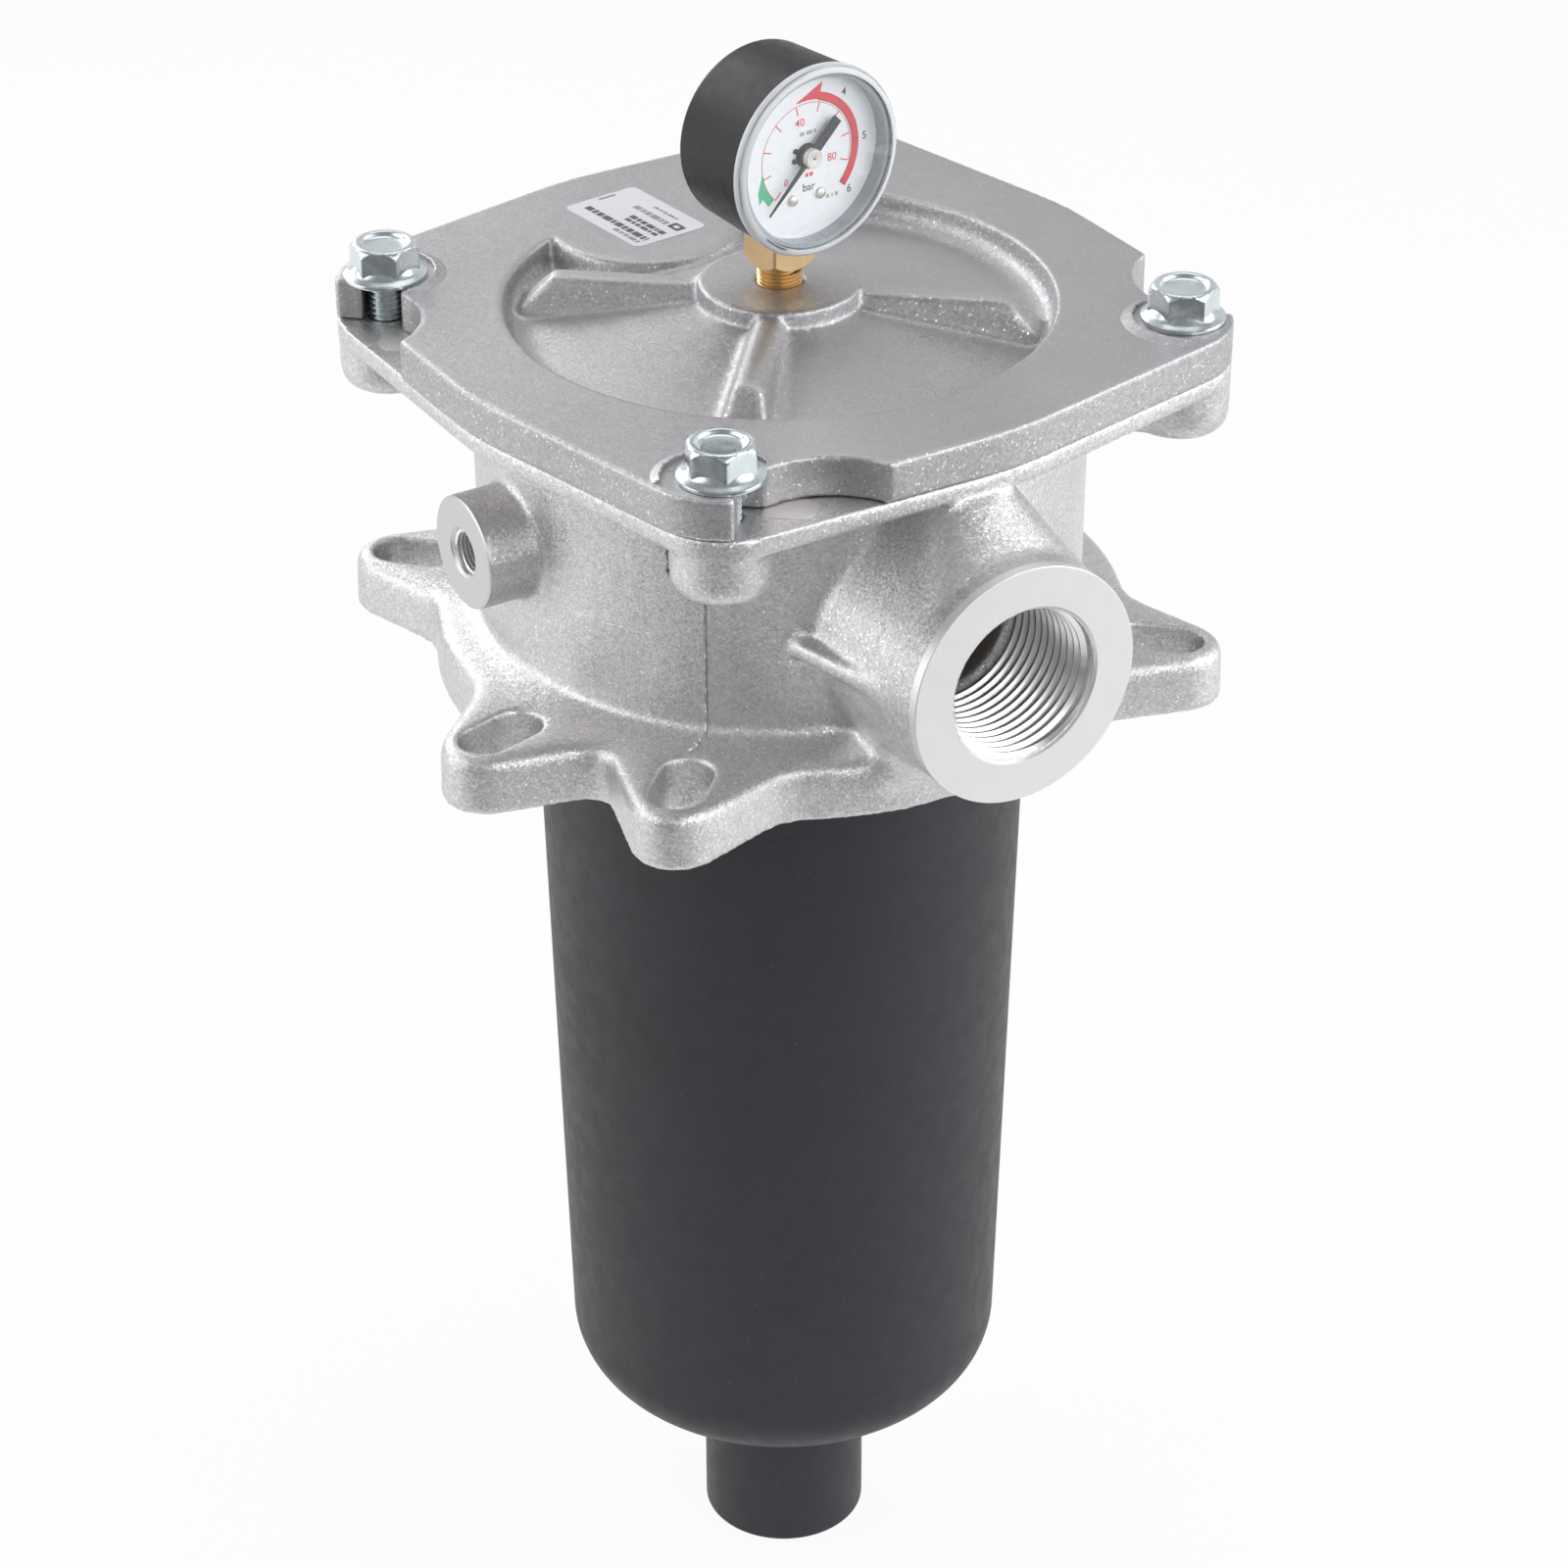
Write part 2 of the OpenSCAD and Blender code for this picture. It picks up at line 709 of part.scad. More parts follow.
module element_media() {
    low = foot_z + cap_t;
    high = cap_top_z - cap_t;
    in_r = media_in_r;
    half = 360 / pleats / 2;
    // One sheet folded to and fro: outer line out, inner line back
    outer = [for (i = [0:pleats - 1]) each [
        (media_r) * [cos(2 * half * i), sin(2 * half * i)],
        (in_r + pleat_t) * [cos(2 * half * i + half), sin(2 * half * i + half)]
    ]];
    inner = [for (i = [0:pleats - 1]) each [
        (media_r - 3 * pleat_t) * [cos(2 * half * i), sin(2 * half * i)],
        in_r * [cos(2 * half * i + half), sin(2 * half * i + half)]
    ]];
    color("wheat") translate([0, 0, low]) linear_extrude(high - low) difference() {
        polygon(outer);
        polygon(inner);
    }
}

module element_core() {
    low = foot_z + cap_t;
    high = cap_top_z - cap_t;
    rows = 9;
    color("darkgray") difference() {
        tube(core_r + core_t, core_r, low, high);
        for (i = [0:rows - 1], k = [0:3])
            translate([0, 0, low + 20 + (high - low - 60) * i / (rows - 1)]) rotate([90, 0, 45 * k + 22.5 * (i % 2)])
                cylinder(r = 3, h = 4 * core_r, center = true, $fn = 24);
    }
}

module element_bottom_cap() {
    color("gainsboro") difference() {
        union() {
            tube(cap_r, cap_r - 1, foot_z, foot_z + cap_rim);
            translate([0, 0, foot_z]) cylinder(r = cap_r, h = cap_t);
            translate([0, 0, foot_z - foot_drop]) cylinder(r = sleeve_r + 3.2, h = foot_drop + cap_t);
        }
        translate([0, 0, foot_z - foot_drop - 1]) cylinder(r = sleeve_r - 1.7, h = foot_drop + cap_rim + 2);
        tube(sleeve_r + 1.2, spigot_r, foot_seal_z, foot_seal_z + foot_seal_h);
    }
}

module element_seal() {
    color("black") tube(sleeve_r + 1.2, spigot_r, foot_seal_z, foot_seal_z + foot_seal_h);
}

module element_spring() {
    color("gray") spring(press_spring_r, press_wire, cap_top_z, spring_seat_z, 4);
}

module bypass_seat() {
    boss_t = 2;
    head_t = 1.5;
    color("goldenrod") difference() {
        union() {
            translate([0, 0, valve_z]) cylinder(r = valve_r, h = cap_top_z + boss_t - valve_z);
            translate([0, 0, cap_top_z + boss_t]) cylinder(r = valve_r + 2, h = head_t);
        }
        translate([0, 0, valve_z - 1]) cylinder(r = seat_r, h = cap_top_z + boss_t + head_t + 2 - valve_z);
        translate([0, 0, cap_top_z]) cylinder(r1 = seat_r, r2 = seat_r + boss_t + head_t, h = boss_t + head_t + eps);
    }
}

module bypass_cage() {
    in_r = valve_r - 1.6;
    color("darkkhaki") difference() {
        translate([0, 0, cage_z]) cylinder(r = valve_r, h = cage_h);
        translate([0, 0, cage_z + cage_floor]) cylinder(r = in_r, h = cage_h);
        translate([0, 0, cage_z - 1]) cylinder(r = guide_r + guide_gap, h = 10);
        // Side windows and the holes in the floor that let the oil through
        for (k = [0:3]) rotate(90 * k)
            translate([0, -5, cage_z + cage_floor + 3]) cube([valve_r * 2, 10, cage_h - cage_floor - 7]);
        for (k = [0:5]) rotate(60 * k) translate([(in_r + guide_r) / 2 + 3, 0, cage_z - 1]) cylinder(r = 2, h = 10);
    }
}

module bypass_poppet() {
    color("tan") {
        translate([0, 0, valve_z - poppet_t - turn_gap]) cylinder(r = poppet_r, h = poppet_t);
        translate([0, 0, cage_z - 2]) cylinder(r = guide_r, h = valve_z - poppet_t - cage_z + 2 + eps);
    }
}

module bypass_spring() {
    color("gray") spring(bypass_spring_r, bypass_wire, cage_z + cage_floor, valve_z - poppet_t - turn_gap, 5);
}

// The gauge's own frame: X forward along its axis, Z up
module in_gauge() {
    translate([0, 0, gauge_z]) rotate(gauge_turn) children();
}

// Revolves a profile of [distance forward, radius] about the gauge axis
module gauge_turned() {
    rotate([0, 90, 0]) rotate([0, 0, 90]) rotate_extrude() mirror([1, -1]) children();
}

module disc_x(r, x0, x1) {
    translate([x0, 0, 0]) rotate([0, 90, 0]) cylinder(r = r, h = x1 - x0);
}

module gauge_stem() {
    neck_r = stem_r + 0.2;
    block_top = -8.6;
    color("peru") in_gauge() difference() {
        union() {
            translate([0, 0, stem_low_z - gauge_z]) cylinder(r = stem_r - thread_fit, h = square_z - stem_low_z);
            intersection() {
                translate([-stem_af / 2, -stem_af / 2, square_z - gauge_z - 3])
                    cube([stem_af, stem_af, gauge_z - square_z + 3 + block_top]);
                translate([0, 0, square_z - gauge_z - 3])
                    cylinder(r1 = neck_r - 0.6, r2 = neck_r - 0.6 + 30, h = 30 / tan(48));
                translate([0, 0, square_z - gauge_z - 3]) cylinder(r = stem_af * 0.68, h = 40);
            }
        }
        // The block is milled away in front of the movement and behind the tube
        translate([movement_x, -10, -case_r + case_wall + 2]) cube([20, 20, 20]);
        translate([0, 0, stem_low_z - gauge_z - 1]) cylinder(r = 1.2, h = gauge_z - stem_low_z - case_r + 4);
    }
}

module gauge_case() {
    soft = 1.4;
    back_r = case_r - case_draft;
    front = window_back + window_lip;
    color("black") in_gauge() difference() {
        rotate([0, 90, 0]) rotate_extrude() difference() {
            union() {
                polygon([
                    [0, case_back + soft],
                    [back_r, case_back + soft],
                    [case_r, window_back],
                    [case_r, front],
                    [0, front]
                ]);
                translate([0, case_back]) square([back_r - soft, soft + eps]);
                translate([back_r - soft, case_back + soft]) circle(soft);
            }
            polygon([
                [-1, case_back + case_wall],
                [back_r - case_wall, case_back + case_wall],
                [case_r - case_wall, window_back],
                [case_r - case_wall, front + 1],
                [-1, front + 1]
            ]);
            translate([-10, case_back - 1]) square([10, 50]);
            translate([case_r - case_wall / 2, window_back]) square([10, 20]);
        }
        translate([-stem_af / 2 - guide_gap, -stem_af / 2 - guide_gap, -case_r - 1])
            cube([stem_af + 2 * guide_gap, stem_af + 2 * guide_gap, case_r * 0.6]);
        disc_x(2.5, case_back - 1, case_back + 5);
    }
}

// Clear cap on the case's stepped edge, with a skirt that holds the dial down
module gauge_window() {
    soft = 1.8;
    color("lightcyan", 0.4) in_gauge() rotate([0, 90, 0]) rotate_extrude() {
        difference() {
            intersection() {
                union() {
                    translate([0, window_back]) square([gauge_r, window_l - soft]);
                    translate([0, window_x - soft - eps]) square([gauge_r - soft, soft + eps]);
                    translate([gauge_r - soft, window_x - soft]) circle(soft);
                }
                translate([0, window_back]) square([gauge_r + 1, window_l]);
            }
            translate([-1, window_back - 5])
                square([case_r - case_wall / 2 + window_clear + 1, window_l + 5 - window_t]);
            translate([-10, window_back - 5]) square([10, 20]);
        }
        translate([dial_r - skirt_t, dial_x + dial_t])
            square([skirt_t, window_x - window_t - dial_x - dial_t + eps]);
    }
}

module gauge_dial() {
    color("white") in_gauge() difference() {
        disc_x(dial_r, dial_x, dial_x + dial_t);
        disc_x(pivot_r + 0.5, dial_x - 1, dial_x + 2);
        for (s = [-1, 1]) translate([0, s * screw_y, screw_z]) disc_x(0.7, dial_x - 1, dial_x + 2);
    }
}

module dial_screws() {
    post = movement_x + 2 * movement_t + plate_gap;
    color("silver") in_gauge() for (s = [-1, 1]) translate([0, s * screw_y, screw_z]) {
        disc_x(1.3, post, dial_x);
        disc_x(0.7, dial_x - eps, dial_x + dial_t + eps);
        disc_x(1.3, dial_x + dial_t, dial_x + dial_t + 0.7);
    }
}

// Back and front plates with four pillars, bored for the two arbors
module gauge_movement() {
    front = movement_x + movement_t + plate_gap;
    low = -12.5;
    high = 4;
    half_w = 6.5;
    color("khaki") in_gauge() difference() {
        union() {
            for (x = [movement_x, front]) translate([x, -half_w, low]) cube([movement_t, 2 * half_w, high - low]);
            for (s = [-1, 1], z = [low + 1.2, high - 1.2])
                translate([0, s * (half_w - 1), z]) disc_x(0.8, movement_x + movement_t / 2, front + movement_t / 2);
        }
        disc_x(pivot_r + pivot_gap, movement_x - 1, front + 3);
        translate([0, 0, sector_z]) disc_x(pivot_r + pivot_gap, movement_x + 0.2, front + 3);
    }
}

// Coiled pressure tube from the stem block round to its free tip
module bourdon_tube() {
    wall = 0.7;
    tip_l = movement_x + movement_t + 2.2 - tube_x;
    color("darkgoldenrod") in_gauge() {
        translate([tube_x, 0, 0]) rotate([0, 90, 0]) rotate([0, 0, 180 - tube_start]) mirror([0, 1, 0])
            rotate_extrude(angle = tube_sweep) translate([tube_r - wall, 0]) square([2 * wall, tube_w]);
        rotate([-tube_tip, 0, 0]) translate([tube_x + 0.3, -1.2, tube_r - 1.3]) cube([tip_l - 0.3, 2.4, 2.6]);
    }
}

module gauge_link() {
    // Drawn at zero pressure, from the tube's tip to beside the sector's tail
    x = movement_x + movement_t + 2.2;
    far = [tube_r * sin(tube_tip), tube_r * cos(tube_tip) - 0.6];
    near = [0, sector_z - 4];
    run = far - near;
    color("silver") in_gauge() translate([x, near[0], near[1]]) rotate([atan2(run[1], run[0]), 0, 0])
        translate([0, 0, -0.4]) cube([0.4, norm(run), 0.8]);
}

// Triangular teeth round a gear, drawn in its own plane
module teeth2d(r, n, from, to) {
    tall = tooth_m;
    wide = 360 / n * 0.24;
    for (i = [from:to]) rotate(360 / n * i) polygon([
        (r - tall) * [cos(wide), sin(wide)],
        (r + tall * 0.6) * [cos(wide * 0.25), sin(wide * 0.25)],
        (r + tall * 0.6) * [cos(wide * 0.25), -sin(wide * 0.25)],
        (r - tall) * [cos(wide), -sin(wide)],
        (r - 2 * tall) * [1, 0]
    ]);
}

module sector_gear() {
    x = movement_x + movement_t + 0.9;
    reach = 5;
    root = sector_r - tooth_m * 1.2;
    span = 360 / sector_n * (reach + 6);
    color("goldenrod") in_gauge() translate([0, 0, sector_z]) {
        disc_x(pivot_r, movement_x + 0.3, movement_x + 2 * movement_t + plate_gap - 0.1);
        translate([x, 0, 0]) rotate([-sector_rest, 0, 0]) rotate([90, 0, 90]) linear_extrude(0.8) {
            rotate(90) {
                intersection() {
                    ring2d(root, root - 1.4);
                    wedge2d(root * 2, -span / 2, span / 2);
                }
                translate([0, -0.7]) square([root - 0.7, 1.4]);
                teeth2d(sector_r, sector_n, -reach, reach);
            }
            circle(1.5);
            translate([-0.6, -4.6]) square([1.2, 4]);
        }
    }
}

module pointer_shaft() {
    x = movement_x + movement_t + 0.6;
    color("silver") in_gauge() {
        disc_x(pivot_r, movement_x + 0.1, dial_x + dial_t + 2);
        translate([x, 0, 0]) rotate([90, 0, 90]) linear_extrude(1.4) {
            circle(pinion_r - tooth_m * 1.3);
            rotate(90) teeth2d(pinion_r, pinion_n, 0, pinion_n - 1);
        }
    }
}

module gauge_pointer() {
    x = dial_x + dial_t + 1.3;
    tail_l = 9.7;
    tail_w = 2.3;
    hub_r = 2.3;
    color("dimgray") in_gauge() rotate([-rest_clock, 0, 0]) difference() {
        union() {
            translate([x, 0, 0]) rotate([90, 0, 90]) linear_extrude(0.4) {
                polygon([[-0.65, 0], [0.65, 0], [0.12, pointer_l], [-0.12, pointer_l]]);
                translate([-tail_w / 2, -tail_l]) square([tail_w, tail_l]);
            }
            disc_x(hub_r, x - 0.3, x + 1.5);
        }
        disc_x(pivot_r, x - 1, x + 0.7);
    }
}

head();
cover();
cover_seal();
cover_bolts();
label();
bowl();
bowl_seal();
bowl_ring();
element_top_cap();
element_media();
element_core();
element_bottom_cap();
element_seal();
element_spring();
bypass_seat();
bypass_cage();
bypass_poppet();
bypass_spring();
gauge_stem();
gauge_case();
gauge_window();
gauge_dial();
dial_screws();
gauge_movement();
bourdon_tube();
gauge_link();
sector_gear();
pointer_shaft();
gauge_pointer();
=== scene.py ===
import math

import bmesh
import bpy
import numpy as np
from mathutils import Matrix, Vector
from mathutils.bvhtree import BVHTree


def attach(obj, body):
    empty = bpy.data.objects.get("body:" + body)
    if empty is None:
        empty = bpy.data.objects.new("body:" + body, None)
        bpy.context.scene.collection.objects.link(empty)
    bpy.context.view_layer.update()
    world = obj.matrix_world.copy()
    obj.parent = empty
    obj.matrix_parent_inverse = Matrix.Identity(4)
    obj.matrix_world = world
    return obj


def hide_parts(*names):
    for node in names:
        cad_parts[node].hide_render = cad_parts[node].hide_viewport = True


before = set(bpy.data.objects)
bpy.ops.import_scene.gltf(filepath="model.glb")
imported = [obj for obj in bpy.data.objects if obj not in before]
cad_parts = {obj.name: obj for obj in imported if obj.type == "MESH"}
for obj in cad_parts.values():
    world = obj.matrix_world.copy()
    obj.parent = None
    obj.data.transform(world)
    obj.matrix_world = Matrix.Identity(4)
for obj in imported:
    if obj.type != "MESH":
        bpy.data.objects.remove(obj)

MM = 0.001
TAU = 2 * math.pi
scene = bpy.context.scene
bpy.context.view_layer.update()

# Sizes shared with the construction source, in millimetres and degrees
HEAD_H, PLATE_T = 74.2, 4.2
PLATE_Z = HEAD_H - PLATE_T
INLET_X, INLET_Z, INLET_R, INLET_BORE = 94.7, 35.35, 26.0, 16.6
SIDE_Y, SIDE_Z, SIDE_R = 76.4, 43.5, 12.25
COVER_Z, BOSS_R = 83.2, 17.2
BOLT_PC, TWIST, BOLT_AF, BOLT_L = 84.15, 51.3, 13.0, 20.0
EARS, SLOT_IN, SLOT_OUT, SLOT_R = (45, -45, -75, -135, 135, 165), 78.5, 87.3, 5.5
BOWL_R, BOWL_TAPER, BOWL_WALL, BOWL_DEPTH, BOWL_CORNER = 54.3, 0.024, 3.5, 192.0, 16.0
LEDGE_Z, SPIGOT_R, SPIGOT_BORE, SPIGOT_L, NECK_H = 10.0, 19.0, 15.5, 45.8, 20.0
COLLAR_R, COLLAR_H = 58.85, 8.0
GAUGE_Z, GAUGE_TURN, GAUGE_R, CASE_R, CASE_DRAFT, CASE_WALL = 117.9, 6.0, 20.5, 20.1, 0.8, 1.2
WINDOW_X, WINDOW_L, WINDOW_T, GAUGE_L, DIAL_X, DIAL_R = 13.9, 2.2, 1.5, 22.9, 8.5, 18.6
# Pitches of the inlet's G1, the stem's and side port's G1/8 and the bolts' M8
G1_PITCH, G18_PITCH, M8_PITCH = 2.309, 0.907, 1.25
# The photograph's camera, as fitted: pixels, then degrees and metres
PHOTO, FOCAL, CENTRE = 1600, 4538.4, (794.09, 798.86)
CAM_TURN, CAM_TILT, CAM_ROLL, CAM_PLACE = 59.17, -30.783, -0.224, (0.7304, -0.4368, 0.4717)


# ---- places

def spin(a):
    """A turn about Z, in degrees."""
    return Matrix.Rotation(math.radians(a), 4, "Z")


def move(x, y, z):
    """A move in millimetres."""
    return Matrix.Translation((x * MM, y * MM, z * MM))


def at_bolt(k, z=0):
    return spin(TWIST + 90 * k) @ move(BOLT_PC, 0, z)


def polar(r, a):
    t = math.radians(a)
    return r * math.cos(t), r * math.sin(t)


def circle(r, z, n):
    return [(r * math.cos(TAU * j / n), r * math.sin(TAU * j / n), z) for j in range(n)]


# ---- mesh helpers

def new_object(name, verts, faces, mat=None, sharp=None, matrix=None):
    """A mesh object from points in millimetres, moved into the shared frame by the matrix."""
    me = bpy.data.meshes.new(name)
    pts = np.asarray(verts, float) * MM
    if matrix is not None:
        m = np.array(matrix)
        pts = pts @ m[:3, :3].T + m[:3, 3]
    me.from_pydata(pts.tolist(), [], [list(f) for f in faces])
    return finish_mesh(me, name, mat, sharp)


def finish_mesh(me, name, mat=None, sharp=None):
    me.validate()
    me.update()
    me.polygons.foreach_set("use_smooth", [True] * len(me.polygons))
    if sharp is not None:
        me.set_sharp_from_angle(angle=math.radians(sharp))
    o = bpy.data.objects.new(name, me)
    scene.collection.objects.link(o)
    if mat is not None:
        me.materials.append(mat)
    return o


def grid_faces(rows, cols):
    """Quads between rows of points, each row closed on itself."""
    f = []
    for i in range(rows - 1):
        for j in range(cols):
            a, b = i * cols + j, i * cols + (j + 1) % cols
            f.append((a, b, b + cols, a + cols))
    return f


def prism_faces(n):
    """The faces of a plate whose two outlines have n points each."""
    ends = [tuple(reversed(range(n))), tuple(range(n, 2 * n))]
    return ends + [(i, (i + 1) % n, n + (i + 1) % n, n + i) for i in range(n)]


def lathe(name, profile, mat, segs=128, matrix=None, sharp=35, closed=False, flip=False):
    """Revolves [radius, height] points about Z. An end at radius 0 becomes a single pole."""
    verts, rows = [], []
    for r, z in profile:
        if r < 1e-6:
            rows.append([len(verts)])
            verts.append((0, 0, z))
        else:
            rows.append(list(range(len(verts), len(verts) + segs)))
            verts += circle(r, z, segs)
    faces = []
    pairs = list(zip(rows, rows[1:])) + ([(rows[-1], rows[0])] if closed else [])
    for lo, hi in pairs:
        for j in range(segs):
            k = (j + 1) % segs
            if len(lo) == 1 and len(hi) == 1:
                continue
            if len(lo) == 1:
                faces.append((lo[0], hi[k], hi[j]))
            elif len(hi) == 1:
                faces.append((lo[j], lo[k], hi[0]))
            else:
                faces.append((lo[j], lo[k], hi[k], hi[j]))
    if flip:
        faces = [tuple(reversed(f)) for f in faces]
    return new_object(name, verts, faces, mat, sharp, matrix)


def arc(cx, cz, r, a0, a1, n=8):
    points = [polar(r, a0 + (a1 - a0) * i / n) for i in range(n + 1)]
    return [(cx + x, cz + z) for x, z in points]


def thread(name, root, crest, pitch, z0, z1, mat, segs=72, matrix=None, phase=0.0, flat=0.07):
    """A helical ridge as one closed solid. The crest may be outside or inside the root radius."""
    n = int(segs * ((z1 - z0) / pitch - 1))
    fade = segs * 0.3
    back = root + (0.25 if root > crest else -0.25)
    section = [(back, -0.5), (root, -0.46), (crest, -flat), (crest, flat), (root, 0.46), (back, 0.5)]
    verts = []
    for i in range(n + 1):
        a = TAU * i / segs + phase
        z = z0 + pitch * 0.5 + pitch * i / segs
        grow = min(1, i / fade, (n - i) / fade)
        for r, t in section:
            rr = root + (crest - root) * max(0.02, grow) if r == crest else r
            verts.append((rr * math.cos(a), rr * math.sin(a), z + t * pitch))
    k = len(section)
    faces = [f[::-1] for f in grid_faces(n + 1, k)]
    faces += [tuple(range(k)), tuple(reversed(range(n * k, n * k + k)))]
    if crest < root:
        faces = [f[::-1] for f in faces]
    return new_object(name, verts, faces, mat, 25, matrix)


def join(name, objs):
    """Joins mesh objects into one without operators, keeping each one's material."""
    verts, faces, mats, idx, smooth = [], [], [], [], []
    for o in objs:
        me = o.data
        base = len(verts)
        verts += [tuple(v.co) for v in me.vertices]
        slots = []
        for m in me.materials:
            if m not in mats:
                mats.append(m)
            slots.append(mats.index(m))
        for p in me.polygons:
            faces.append([base + v for v in p.vertices])
            idx.append(slots[p.material_index] if slots else 0)
            smooth.append(p.use_smooth)
    me = bpy.data.meshes.new(name)
    me.from_pydata(verts, [], faces)
    for m in mats:
        me.materials.append(m)
    me.polygons.foreach_set("material_index", idx)
    me.polygons.foreach_set("use_smooth", smooth)
    me.update()
    me.set_sharp_from_angle(angle=math.radians(35))
    for o in objs:
        bpy.data.objects.remove(o)
    out = bpy.data.objects.new(name, me)
    scene.collection.objects.link(out)
    return out


def evaluated(o):
    dg = bpy.context.evaluated_depsgraph_get()
    return bpy.data.meshes.new_from_object(o.evaluated_get(dg), depsgraph=dg)


def smooth_points(co, edges, weight, rounds, pull=0.5):
    """Moves each point towards the mean of its neighbours, by its own weight."""
    n = len(co)
    a, b = edges[:, 0], edges[:, 1]
    count = np.bincount(a, minlength=n) + np.bincount(b, minlength=n)
    w = (weight * pull)[:, None]
    for _ in range(rounds):
        total = np.empty_like(co)
        for k in range(3):
            total[:, k] = np.bincount(a, co[b, k], n) + np.bincount(b, co[a, k], n)
        co = co + w * (total / count[:, None] - co)
    return co


def cast_copy(node, name, mat, voxel, budget, shape):
    """A soft-edged casting grown from a CAD node: voxel remesh, smoothing by region, then thinning."""
    src = bpy.data.objects.new(name + "_src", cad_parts[node].data.copy())
    scene.collection.objects.link(src)
    m = src.modifiers.new("v", "REMESH")
    m.mode = "VOXEL"
    m.voxel_size = voxel * MM
    me = evaluated(src)
    bpy.data.objects.remove(src)
    co = np.empty(len(me.vertices) * 3)
    me.vertices.foreach_get("co", co)
    co = co.reshape(-1, 3) / MM
    ed = np.empty(len(me.edges) * 2, int)
    me.edges.foreach_get("vertices", ed)
    co = shape(co, ed.reshape(-1, 2))
    me.vertices.foreach_set("co", (co * MM).ravel())
    me.update()
    me.materials.clear()
    tmp = bpy.data.objects.new(name + "_tmp", me)
    scene.collection.objects.link(tmp)
    tris = sum(len(p.vertices) - 2 for p in me.polygons)
    if tris > budget:
        d = tmp.modifiers.new("d", "DECIMATE")
        d.ratio = budget / tris
        me = evaluated(tmp)
    bpy.data.objects.remove(tmp)
    print(node, "remeshed triangles", tris, "kept", sum(len(p.vertices) - 2 for p in me.polygons))
    return finish_mesh(me, name, mat)


# ---- material helpers

class Tree:
    """A short way to write a node tree."""

    def __init__(self, tree):
        self.t = tree
        self.t.nodes.clear()

    def put(self, socket, value):
        if isinstance(value, bpy.types.NodeSocket):
            self.t.links.new(value, socket)
        elif isinstance(value, tuple) and len(value) == 3 and len(socket.default_value) == 4:
            socket.default_value = (*value, 1)
        else:
            socket.default_value = value

    def node(self, kind, **inputs):
        """Inputs go by name or, as i0, by number. Those that begin with p_ are properties."""
        n = self.t.nodes.new(kind)
        for k, v in inputs.items():
            if k.startswith("p_"):
                setattr(n, k[2:], v)
            elif k[0] == "i" and k[1:].isdigit():
                self.put(n.inputs[int(k[1:])], v)
            else:
                self.put(n.inputs[k.replace("_", " ")], v)
        return n

    def noise(self, scale, detail=3.0, rough=0.5, vector=None):
        return self.node("ShaderNodeTexNoise", Vector=vector or self.co, Scale=scale, Detail=detail,
                         Roughness=rough).outputs[0]

    def voronoi(self, scale, out="Color"):
        return self.node("ShaderNodeTexVoronoi", Vector=self.co, Scale=scale).outputs[out]

    def ramp(self, fac, *stops):
        """stops are (place, value) or (place, (r, g, b)), in rising order"""
        n = self.node("ShaderNodeValToRGB", Fac=fac)
        el = n.color_ramp.elements
        for p, _ in stops[1:-1]:
            el.new(p)
        for e, (p, c) in zip(el, stops):
            e.position = p
            e.color = (*(c if isinstance(c, tuple) else (c, c, c)), 1)
        return n.outputs[0]

    def math(self, op, a, b=None, clamp=False):
        rest = {} if b is None else {"i1": b}
        return self.node("ShaderNodeMath", p_operation=op, p_use_clamp=clamp, i0=a, **rest).outputs[0]

    def vector(self, op, a, **rest):
        return self.node("ShaderNodeVectorMath", p_operation=op, i0=a, **rest).outputs

    def length(self, a, b):
        return self.math("SQRT", self.math("ADD", self.math("MULTIPLY", a, a), self.math("MULTIPLY", b, b)))

    def mix(self, fac, a, b, blend="MIX"):
        return self.node("ShaderNodeMix", p_data_type="RGBA", p_blend_type=blend, i0=fac, i6=a,
                         i7=b).outputs[2]

    def bump(self, height, strength, distance, normal=None):
        rest = {} if normal is None else {"Normal": normal}
        return self.node("ShaderNodeBump", Height=height, Strength=strength, Distance=distance,
                         **rest).outputs[0]

    def geometry(self, out):
        return self.node("ShaderNodeNewGeometry").outputs[out]

    def sparkle(self, scale, amount):
        """Tilts the normal of each small cell at random, as blasted or cast metal does."""
        tilt = self.vector("SUBTRACT", self.voronoi(scale), i1=(0.5, 0.5, 0.5))[0]
        size = self.vector("SCALE", tilt, Scale=amount)[0]
        return self.vector("NORMALIZE", self.vector("ADD", self.geometry("Normal"), i1=size)[0])[0]


class Nodes(Tree):
    """A material with one Principled surface."""

    def __init__(self, name):
        self.mat = bpy.data.materials.new(name)
        self.mat.use_nodes = True
        super().__init__(self.mat.node_tree)
        self.bsdf = self.node("ShaderNodeBsdfPrincipled")
        self.out = self.node("ShaderNodeOutputMaterial", i0=self.bsdf.outputs[0])
        self.co = self.node("ShaderNodeTexCoord").outputs["Object"]

    def set(self, **kw):
        for k, v in kw.items():
            self.put(self.bsdf.inputs[k.replace("_", " ")], v)

    def trade(self, fac, other):
        """Sends out another shader in place of the surface where fac is 1."""
        pick = self.node("ShaderNodeMixShader", i0=fac, i1=self.bsdf.outputs[0], i2=other.outputs[0])
        self.put(self.out.inputs[0], pick.outputs[0])


def scaled(color, k):
    return tuple(min(1, v * k) for v in color)


